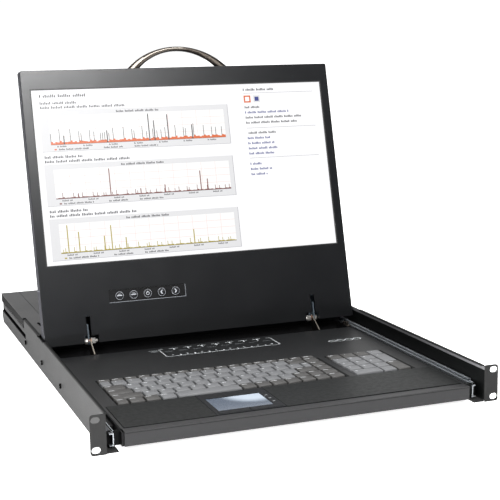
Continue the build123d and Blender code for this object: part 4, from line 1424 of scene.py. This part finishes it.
@dataclass(frozen=True)
class Curve:
    """What one made-up chart shows.

    Attributes:
        band: Finish of its low band.
        peak: Finish of its peaks.
        seed: Start of the pattern that varies the band.
        area: Height of the band as a share.
        peaks: Place along the chart and height of each peak, as shares.
    """

    band: Ink
    peak: Ink
    seed: float
    area: float
    peaks: tuple[Spot, ...]


CURVES = (
    Curve(
        Ink.ORANGE,
        Ink.TEXT,
        1.7,
        0.26,
        ((0.07, 0.3), (0.31, 0.42), (0.55, 0.95), (0.58, 0.7), (0.66, 0.9), (0.8, 0.5)),
    ),
    Curve(
        Ink.MAROON,
        Ink.MAROON,
        4.1,
        0.1,
        ((0.12, 0.15), (0.3, 0.95), (0.47, 0.2), (0.61, 0.28), (0.82, 0.7), (0.86, 0.4)),
    ),
    Curve(
        Ink.OLIVE,
        Ink.OLIVE,
        6.3,
        0.1,
        ((0.04, 0.95), (0.1, 0.7), (0.24, 0.5), (0.28, 0.85), (0.36, 0.4), (0.75, 0.5)),
    ),
)


class Page:
    """A made-up monitoring page: three charts, small bars in place of letters, and a side column."""

    film = 0.02

    def __init__(self, surface: float) -> None:
        """Start the page's drawing.

        Args:
            surface: Height of its lowest layer.
        """
        self.shape = Shape("screen_page", *(getattr(Finishes, ink.name) for ink in Ink))
        self.surface = surface

    def bar(self, low: Spot, high: Spot, ink: Ink, layer: Layer = Layer.PLAIN) -> None:
        """Fill a rectangle.

        Args:
            low: Lowest X and Y.
            high: Highest X and Y.
            ink: Its finish.
            layer: Its layer.
        """
        self.shape.card(low, high, self.surface + layer.value, self.film, finish=int(ink))

    def phrase(
        self, start: Spot, length: float, tall: float, layer: Layer = Layer.PLAIN, ink: Ink = Ink.TEXT
    ) -> None:
        """Draw a line of small bars that stand for the letters of some words.

        Args:
            start: Left end of the line and its foot.
            length: Length of the line.
            tall: Height of its tallest bars.
            layer: Its layer.
            ink: Its finish.
        """
        pitch, width, low_share = tall * 0.62, 0.66, 0.72
        for letter in range(int(length / pitch)):
            if (letter * 3 + int(start[1])) % 8 == 5:
                continue
            x = start[0] + letter * pitch
            rise = tall * (1.0 if (letter * 5) % 7 < 3 else low_share)
            self.bar((x, start[1]), (x + pitch * width, start[1] + rise), ink, layer)

    def grid(self, low: Spot, high: Spot) -> None:
        """Rule a chart's field with faint lines.

        Args:
            low: Lowest X and Y of the field.
            high: Highest X and Y of it.
        """
        line, down, across = 0.45, 4, 12
        for step in range(1, down):
            y = low[1] + (high[1] - low[1]) * step / down
            self.bar((low[0], y), (high[0], y + line), Ink.GRID, Layer.GRID)
        for step in range(1, across):
            x = low[0] + (high[0] - low[0]) * step / across
            self.bar((x, low[1]), (x + line, high[1]), Ink.GRID, Layer.GRID)

    def chart(self, low: Spot, high: Spot, curve: Curve) -> None:
        """Draw one chart panel: frame, grid, a low band of data and its peaks.

        Args:
            low: Lowest X and Y of the panel.
            high: Highest X and Y of it.
            curve: What it shows.
        """
        rule, columns = 0.7, 84
        self.bar(low, high, Ink.PANEL)
        self.bar((low[0], low[1] - 0.5), (high[0] + rule, low[1]), Ink.RULE)
        self.bar((high[0], low[1]), (high[0] + rule, high[1]), Ink.RULE)
        left, bottom = low[0] + 12, low[1] + 9
        right, top = high[0] - 6, high[1] - 7
        self.bar((left, bottom), (right, top), Ink.CHART, Layer.FIELD)
        self.grid((left, bottom), (right, top))
        width, height = right - left, top - bottom
        for column in range(columns):
            share = column / columns
            wave = math.sin(curve.seed + column * 2.399) * math.cos(curve.seed * 3 + column * 1.13)
            wave = 0.5 + 0.5 * wave
            rise = height * curve.area * (0.35 + 0.65 * wave)
            x = left + width * share
            self.bar((x, bottom), (x + width / columns, bottom + rise * 0.5), curve.band, Layer.DATA)
            if wave > 0.6:
                tip = bottom + rise * (1.1 + wave)
                self.bar((x, bottom + rise * 0.4), (x + 0.8, tip), curve.peak, Layer.TIP)
        for share, tall in curve.peaks:
            x = left + width * share
            self.bar((x, bottom), (x + 1.4, bottom + height * tall), curve.peak, Layer.PEAK)
        self.bar((left, bottom - 0.4), (right, bottom), Ink.TEXT, Layer.DATA)
        labels = 7
        for step in range(labels):
            self.phrase((left + 8 + step * width / labels, bottom - 3.6), 14, 2.0, Layer.DATA)
        self.bar((left + 4, low[1] + 1.6), (left + 7, low[1] + 3.4), curve.band, Layer.DATA)
        for start, length in ((10, 40), (70, 26), (112, 34)):
            self.phrase((left + start, low[1] + 1.4), length, 2.2, Layer.DATA)
        self.phrase(((left + right) / 2 - 30, high[1] - 5.4), 60, 2.8, Layer.DATA)

    def charts(self, left: float, right: float, bottom: float, top: float) -> None:
        """Draw the charts under one another, each with two lines over it.

        Args:
            left: X of their left edge.
            right: X of their right edge.
            bottom: The screen's lower edge.
            top: The screen's upper edge.
        """
        head, foot, capital = 14, 16, 3.4
        pitch = (top - bottom - foot) / len(CURVES)
        for number, curve in enumerate(CURVES):
            upper = top - head - number * pitch
            self.phrase((left + 2, upper - 5.0), 52, capital)
            self.phrase((left + 2, upper - 10.8), 118, capital)
            self.chart((left, upper - pitch + 4), (right, upper - 13), curve)
        self.phrase((left + 2, top - 9.8), 66, 4.0)

    def column(self, left: float, right: float, top: float) -> None:
        """Draw the side column: a line, rules, two small signs and a list.

        Args:
            left: X of its left edge.
            right: X of its right edge.
            top: The screen's upper edge.
        """
        self.phrase((left, top - 9.4), 46, 3.2)
        for drop in (13.0, 62.0, 104.0):
            self.bar((left, top - drop), (right, top - drop + 0.5), Ink.RULE)
        for start, outer, inner in ((left, Ink.ORANGE, Ink.PAGE), (left + 14, Ink.PANEL, Ink.LINK)):
            self.bar((start, top - 26), (start + 10, top - 16), outer)
            self.bar((start + 2, top - 24), (start + 8, top - 18), inner, Layer.FIELD)
        lengths = (24, 66, 84, 78, 0, 44, 34, 40, 44, 38, 0, 20, 32, 26)
        plain = (0, 2, 3, 5)
        for number, length in enumerate(lengths):
            ink = Ink.TEXT if number in plain else Ink.LINK
            self.phrase((left, top - 34 - number * 7.2), length, 3.0, ink=ink)


@dataclass
class Lid:
    """The lid: screen page, menu buttons and handle.

    Attributes:
        frame: The lid's own frame.
        screen: Half the screen's width, and its lower and upper edge up the lid.
        glass: Depth of the screen's surface behind the lid's face.
        menu_x: Middle of the middle menu button.
        menu_y: Height of the menu buttons up the lid.
        menu_pitch: Distance between them.
        menu_half: Half the width and the height of their recess.
        top: The lid's upper edge.
        thickness: The lid's thickness.
        bow_outer: Span and rise of the handle's outer arc.
        bow_inner: Span and rise of its inner arc.
        bow_depth: Depth of the handle, from front to back.
    """

    frame: LidFrame = LidFrame()
    screen: Point = (204.9, 101.5, 331.9)
    glass: float = 1.75
    menu_x: float = -75.5
    menu_y: float = 55.2
    menu_pitch: float = 19.2
    menu_half: Spot = (51.9, 7.9)
    top: float = 358.1
    thickness: float = 18.0
    bow_outer: Spot = (145.0, 30.4)
    bow_inner: Spot = (110.6, 24.0)
    bow_depth: float = 9.0

    def screen_page(self) -> None:
        """Draw the page on the screen."""
        half, bottom, top = self.screen
        page = Page(-self.glass + 0.02)
        page.shape.card((-half - 1, bottom - 1), (half + 1, top + 1), -self.glass, 0.04)
        page.charts(-half + 8, -half + 268, bottom, top)
        page.column(half - 116, half - 12, top)
        page.shape.become(self.frame.face(), Body.LID.value, "screen", smooth=1)

    def menu(self) -> None:
        """Round menu buttons with light rings and plain signs, and two short bars for their words."""
        foot, face = -3.1, 0.3
        for number in range(5):
            x = self.menu_x + self.menu_pitch * (number - 2)
            name = f"menu_button_{number + 1}"
            shape = Shape(f"{name}_cap", Finishes.MENU_CAP, Finishes.MENU_RING)
            shape.rod((x, self.menu_y, foot), face - foot, 5.5, 48, edge=0.4)
            shape.washer((x, self.menu_y, face - 0.1), 0.1, 4.75, 5.3, 48, 1)
            self.menu_sign(shape, number, x)
            piece = shape.become(self.frame.face(), name, "menu_cap")
            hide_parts(name)

    def menu_sign(self, shape: Shape, number: int, x: float) -> None:
        """Draw the plain sign of one menu button: bars, a ring with a stroke, or a chevron.

        Args:
            shape: Drawing to add to.
            number: Which button, from the left.
            x: Middle of the button.
        """
        y, z, film = self.menu_y, 0.34, 0.08
        if number in (0, 1):
            shape.card((x - 3.3, y - 0.3), (x + 3.3, y + 0.8), z, film, finish=1)
            shape.card((x - 1.8, y + 1.7), (x + 1.8, y + 2.2), z, film, finish=1)
        elif number == 2:
            shape.washer((x, y, z - film), film, 1.7, 2.3, 24, 1)
            shape.card((x - 0.3, y + 0.6), (x + 0.3, y + 3.0), z + 0.02, film, finish=1)
        else:
            side = -1 if number == 3 else 1
            chevron = ((-1.7, 2.6), (0.0, 2.6), (1.8, 0), (0.0, -2.6), (-1.7, -2.6), (0.1, 0))
            corners = [shape.mesh.verts.new((x + side * across, y + up, z)) for across, up in chevron]
            face = shape.mesh.faces.new(corners)
            face.material_index = 1
            face.normal_update()
            if face.normal.z < 0:
                face.normal_flip()

    def gasket(self) -> None:
        """Thin black frame round the screen's window."""
        half, bottom, top = self.screen
        shape = Shape("screen_gasket", Finishes.GASKET)
        shape.border((-half, bottom), (half, top), 1.3, 0.06, ((0.08, 0),) * 4)
        shape.become(self.frame.face(), Body.LID.value, "lid_paint")

    def menu_trim(self) -> None:
        """Thin rim round the menu's recess: a painted highlight below and at the right, and painted shade
        above and at the left.
        """
        shape = Shape("menu_trim", Finishes.MENU_TRIM, Finishes.LINING)
        low = (self.menu_x - self.menu_half[0], self.menu_y - self.menu_half[1])
        high = (self.menu_x + self.menu_half[0], self.menu_y + self.menu_half[1])
        light, dark = (0.3, 0), (0.1, 1)
        shape.border(low, high, 0.6, 0.08, (light, dark, dark, light))
        shape.become(self.frame.face(), Body.LID.value, "menu_panel")

    def arc(self, span: float, rise: float, share: float) -> Vector:
        """Point on an arc that stands on the lid's top edge.

        Args:
            span: Width of the arc at its feet.
            rise: Its height.
            share: How far along it, from nought to one.

        Returns:
            Distance across from the middle, height above the edge, and nought.
        """
        radius = ((span / 2) ** 2 + rise**2) / (2 * rise)
        angle = (2 * share - 1) * math.asin(span / 2 / radius)
        return Vector((radius * math.sin(angle), radius * math.cos(angle) - radius + rise, 0))

    def handle(self) -> None:
        """Bow handle: one smooth bar of oval section between the inner and the outer arc, with painted shade:
        its rims in a dark copy of the nickel and the inner half of its faces in a dim one.
        """
        stations, sides, shade_share = 48, 24, 0.55
        shape = Shape("bow_handle", Finishes.HANDLE, Finishes.HANDLE_FLANK, Finishes.HANDLE_INNER)
        last: list[bmesh.types.BMEdge] = []
        for station in range(stations + 1):
            outer = self.arc(*self.bow_outer, station / stations)
            inner = self.arc(*self.bow_inner, station / stations)
            across = outer - inner
            made = bmesh.ops.create_circle(shape.mesh, cap_ends=False, segments=sides, radius=1)["verts"]
            side = across.normalized()
            along = side.cross(Vector((0, 0, 1)))
            frame = Matrix((side * across.length / 2, Vector((0, 0, self.bow_depth / 2)), along)).transposed()
            middle = (outer + inner) / 2 + Vector((0, self.top, -self.thickness / 2))
            bmesh.ops.transform(shape.mesh, matrix=Matrix.Translation(middle) @ frame.to_4x4(), verts=made)
            ring = linked_edges(made)
            if last:
                band = bmesh.ops.bridge_loops(shape.mesh, edges=last + ring)["faces"]
                for face in band:
                    # Painted shade by the face's place across the section: rims dark, inner half dim.
                    height = (face.calc_center_median() - middle).dot(side) / (across.length / 2)
                    if abs(height) > shade_share:
                        face.material_index = 1
                    elif height < 0:
                        face.material_index = 2
            if station in (0, stations):
                bmesh.ops.contextual_create(shape.mesh, geom=ring)
            last = ring
        bmesh.ops.recalc_face_normals(shape.mesh, faces=shape.mesh.faces)
        piece = shape.become(self.frame.face(), Body.LID.value, "handle_nickel")
        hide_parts("pull_handle")

    def plates(self) -> None:
        """Lighter matt paint on the lid's two narrow sides, which is painted light, and plates that close the
        hinge slots behind the pin.
        """
        bottom, top, inset = -2.6, self.top - 0.3, 0.4
        for name, side in SIDES:
            # Painted light: a lighter matt skin on the lid's side.
            shape = Shape(f"lid_flank_{name}", Finishes.LID_FLANK)
            shape.block((side * 217.45, bottom, inset - self.thickness), (side * 217.55, top, -inset))
            shape.become(self.frame.face(), Body.LID.value, "lid_paint")
        for name, side in SIDES:
            shape = Shape(f"hinge_plate_{name}", Finishes.LEAF)
            shape.card((side * 155.9, 3.0), (side * 158.8, 23.0), -12.6, 0.4)
            shape.become(self.frame.face(), Body.LID.value, "zinc_steel")

    def build(self) -> None:
        """Make the lid's pieces."""
        self.gasket()
        self.plates()
        self.screen_page()
        self.menu()
        self.menu_trim()
        self.handle()


@dataclass
class Studio:
    """Floor, lights, backdrop and camera.

    Attributes:
        eye: Camera's place in metres.
        yaw: Degrees that it looks to the right of straight back.
        pitch: Degrees that it looks down.
        roll: Degrees that it leans.
        lens: Focal length on a 36 mm sensor.
        floor_z: Height of the floor in metres.
        front_glow: Brightness of the surround in front of the object.
        rear_glow: Brightness of the surround behind it.
    """

    eye: Point = (-0.483993, -1.132222, 0.384307)
    yaw: float = 20.432
    pitch: float = 9.720
    roll: float = -1.097
    lens: float = 85.23
    floor_z: float = -0.0216
    front_glow: float = 0.1
    rear_glow: float = 1.05

    def camera(self) -> None:
        """Stand the camera where the photograph was taken from."""
        yaw, pitch, roll = (math.radians(angle) for angle in (self.yaw, self.pitch, self.roll))
        ahead = Vector((math.sin(yaw) * math.cos(pitch), math.cos(yaw) * math.cos(pitch), -math.sin(pitch)))
        right = Vector((math.cos(yaw), -math.sin(yaw), 0))
        above = right.cross(ahead)
        side = right * math.cos(roll) + above * math.sin(roll)
        up = above * math.cos(roll) - right * math.sin(roll)
        data = bpy.data.cameras.new("photo_camera")
        data.lens = self.lens
        data.sensor_width = 36
        camera = bpy.data.objects.new("photo_camera", data)
        turn = Matrix((side, up, -ahead)).transposed().to_4x4()
        camera.matrix_world = Matrix.Translation(self.eye) @ turn
        bpy.context.scene.collection.objects.link(camera)
        bpy.context.scene.camera = camera

    def softbox(self, name: str, place: Point, target: Point, size: Spot, power: float) -> None:
        """Hang one soft light that looks at a point.

        Args:
            name: Name of the light.
            place: Where it hangs, in metres.
            target: Where it looks.
            size: Its width and height.
            power: Its power in watts.
        """
        data = bpy.data.lights.new(name, "AREA")
        data.shape = "RECTANGLE"
        data.size, data.size_y = size
        data.energy = power
        light = bpy.data.objects.new(name, data)
        light.location = place
        light.rotation_euler = (Vector(target) - Vector(place)).to_track_quat("-Z", "Y").to_euler()
        bpy.context.scene.collection.objects.link(light)

    def floor(self) -> None:
        """Lay the pale floor, which runs on past the edge of every view."""
        mesh = bmesh.new()
        bmesh.ops.create_grid(mesh, x_segments=1, y_segments=1, size=40)
        bmesh.ops.translate(mesh, vec=(0, 0, self.floor_z), verts=mesh.verts)
        data = bpy.data.meshes.new("studio_floor")
        mesh.to_mesh(data)
        mesh.free()
        data.materials.append(Finishes.FLOOR.build())
        floor = bpy.data.objects.new("studio_floor", data)
        bpy.context.scene.collection.objects.link(floor)

    def surround(self) -> None:
        """Light the scene from a white surround that darkens in front, as a black flag would make it."""
        world = bpy.data.worlds.new("studio_surround")
        world.use_nodes = True
        tree = world.node_tree
        direction = add_node(tree, "TexCoord").outputs["Generated"]
        split = add_node(tree, "SeparateXYZ")
        limits = {"From Min": -0.5, "From Max": 0.3, "To Min": self.front_glow, "To Max": self.rear_glow}
        spread = add_node(tree, "MapRange", limits, interpolation_type="SMOOTHSTEP")
        background = tree.nodes["Background"]
        background.inputs["Color"].default_value = (1, 1, 1, 1)
        tree.links.new(direction, split.inputs["Vector"])
        tree.links.new(split.outputs["Y"], spread.inputs["Value"])
        tree.links.new(spread.outputs["Result"], background.inputs["Strength"])
        bpy.context.scene.world = world

    def build(self) -> None:
        """Set up the whole studio."""
        self.camera()
        self.floor()
        self.surround()
        self.softbox("sheen_softbox", (0.1, -1.45, 1.46), (-0.2, 0.43, 0.34), (0.65, 0.4), 46)
        self.softbox("left_softbox", (-0.95, -0.75, 0.5), (-0.22, 0.05, 0), (0.5, 0.5), 8)
        self.softbox("side_softbox", (-0.85, -0.1, 0.0), (-0.223, 0.0, 0.0), (0.3, 0.04), 18)
        self.softbox("top_softbox", (0.1, 0.1, 2.4), (0, 0.1, 0), (1.8, 1.8), 60)
        view = bpy.context.scene.view_settings
        view.view_transform = "Standard"
        view.look = "None"


def main() -> None:
    """Load the frame, dress it, add the scene's own pieces and set up the studio."""
    logging.basicConfig(level=logging.INFO, format="%(name)s: %(message)s")
    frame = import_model()
    Studio().build()
    dress(frame["nodes"])
    for assembly in (Chassis(), Tray(), Lid(), Keyboard()):
        assembly.build()
        LOG.info("finished %s", type(assembly).__name__)
    bpy.context.view_layer.update()


if __name__ == "__main__":
    main()
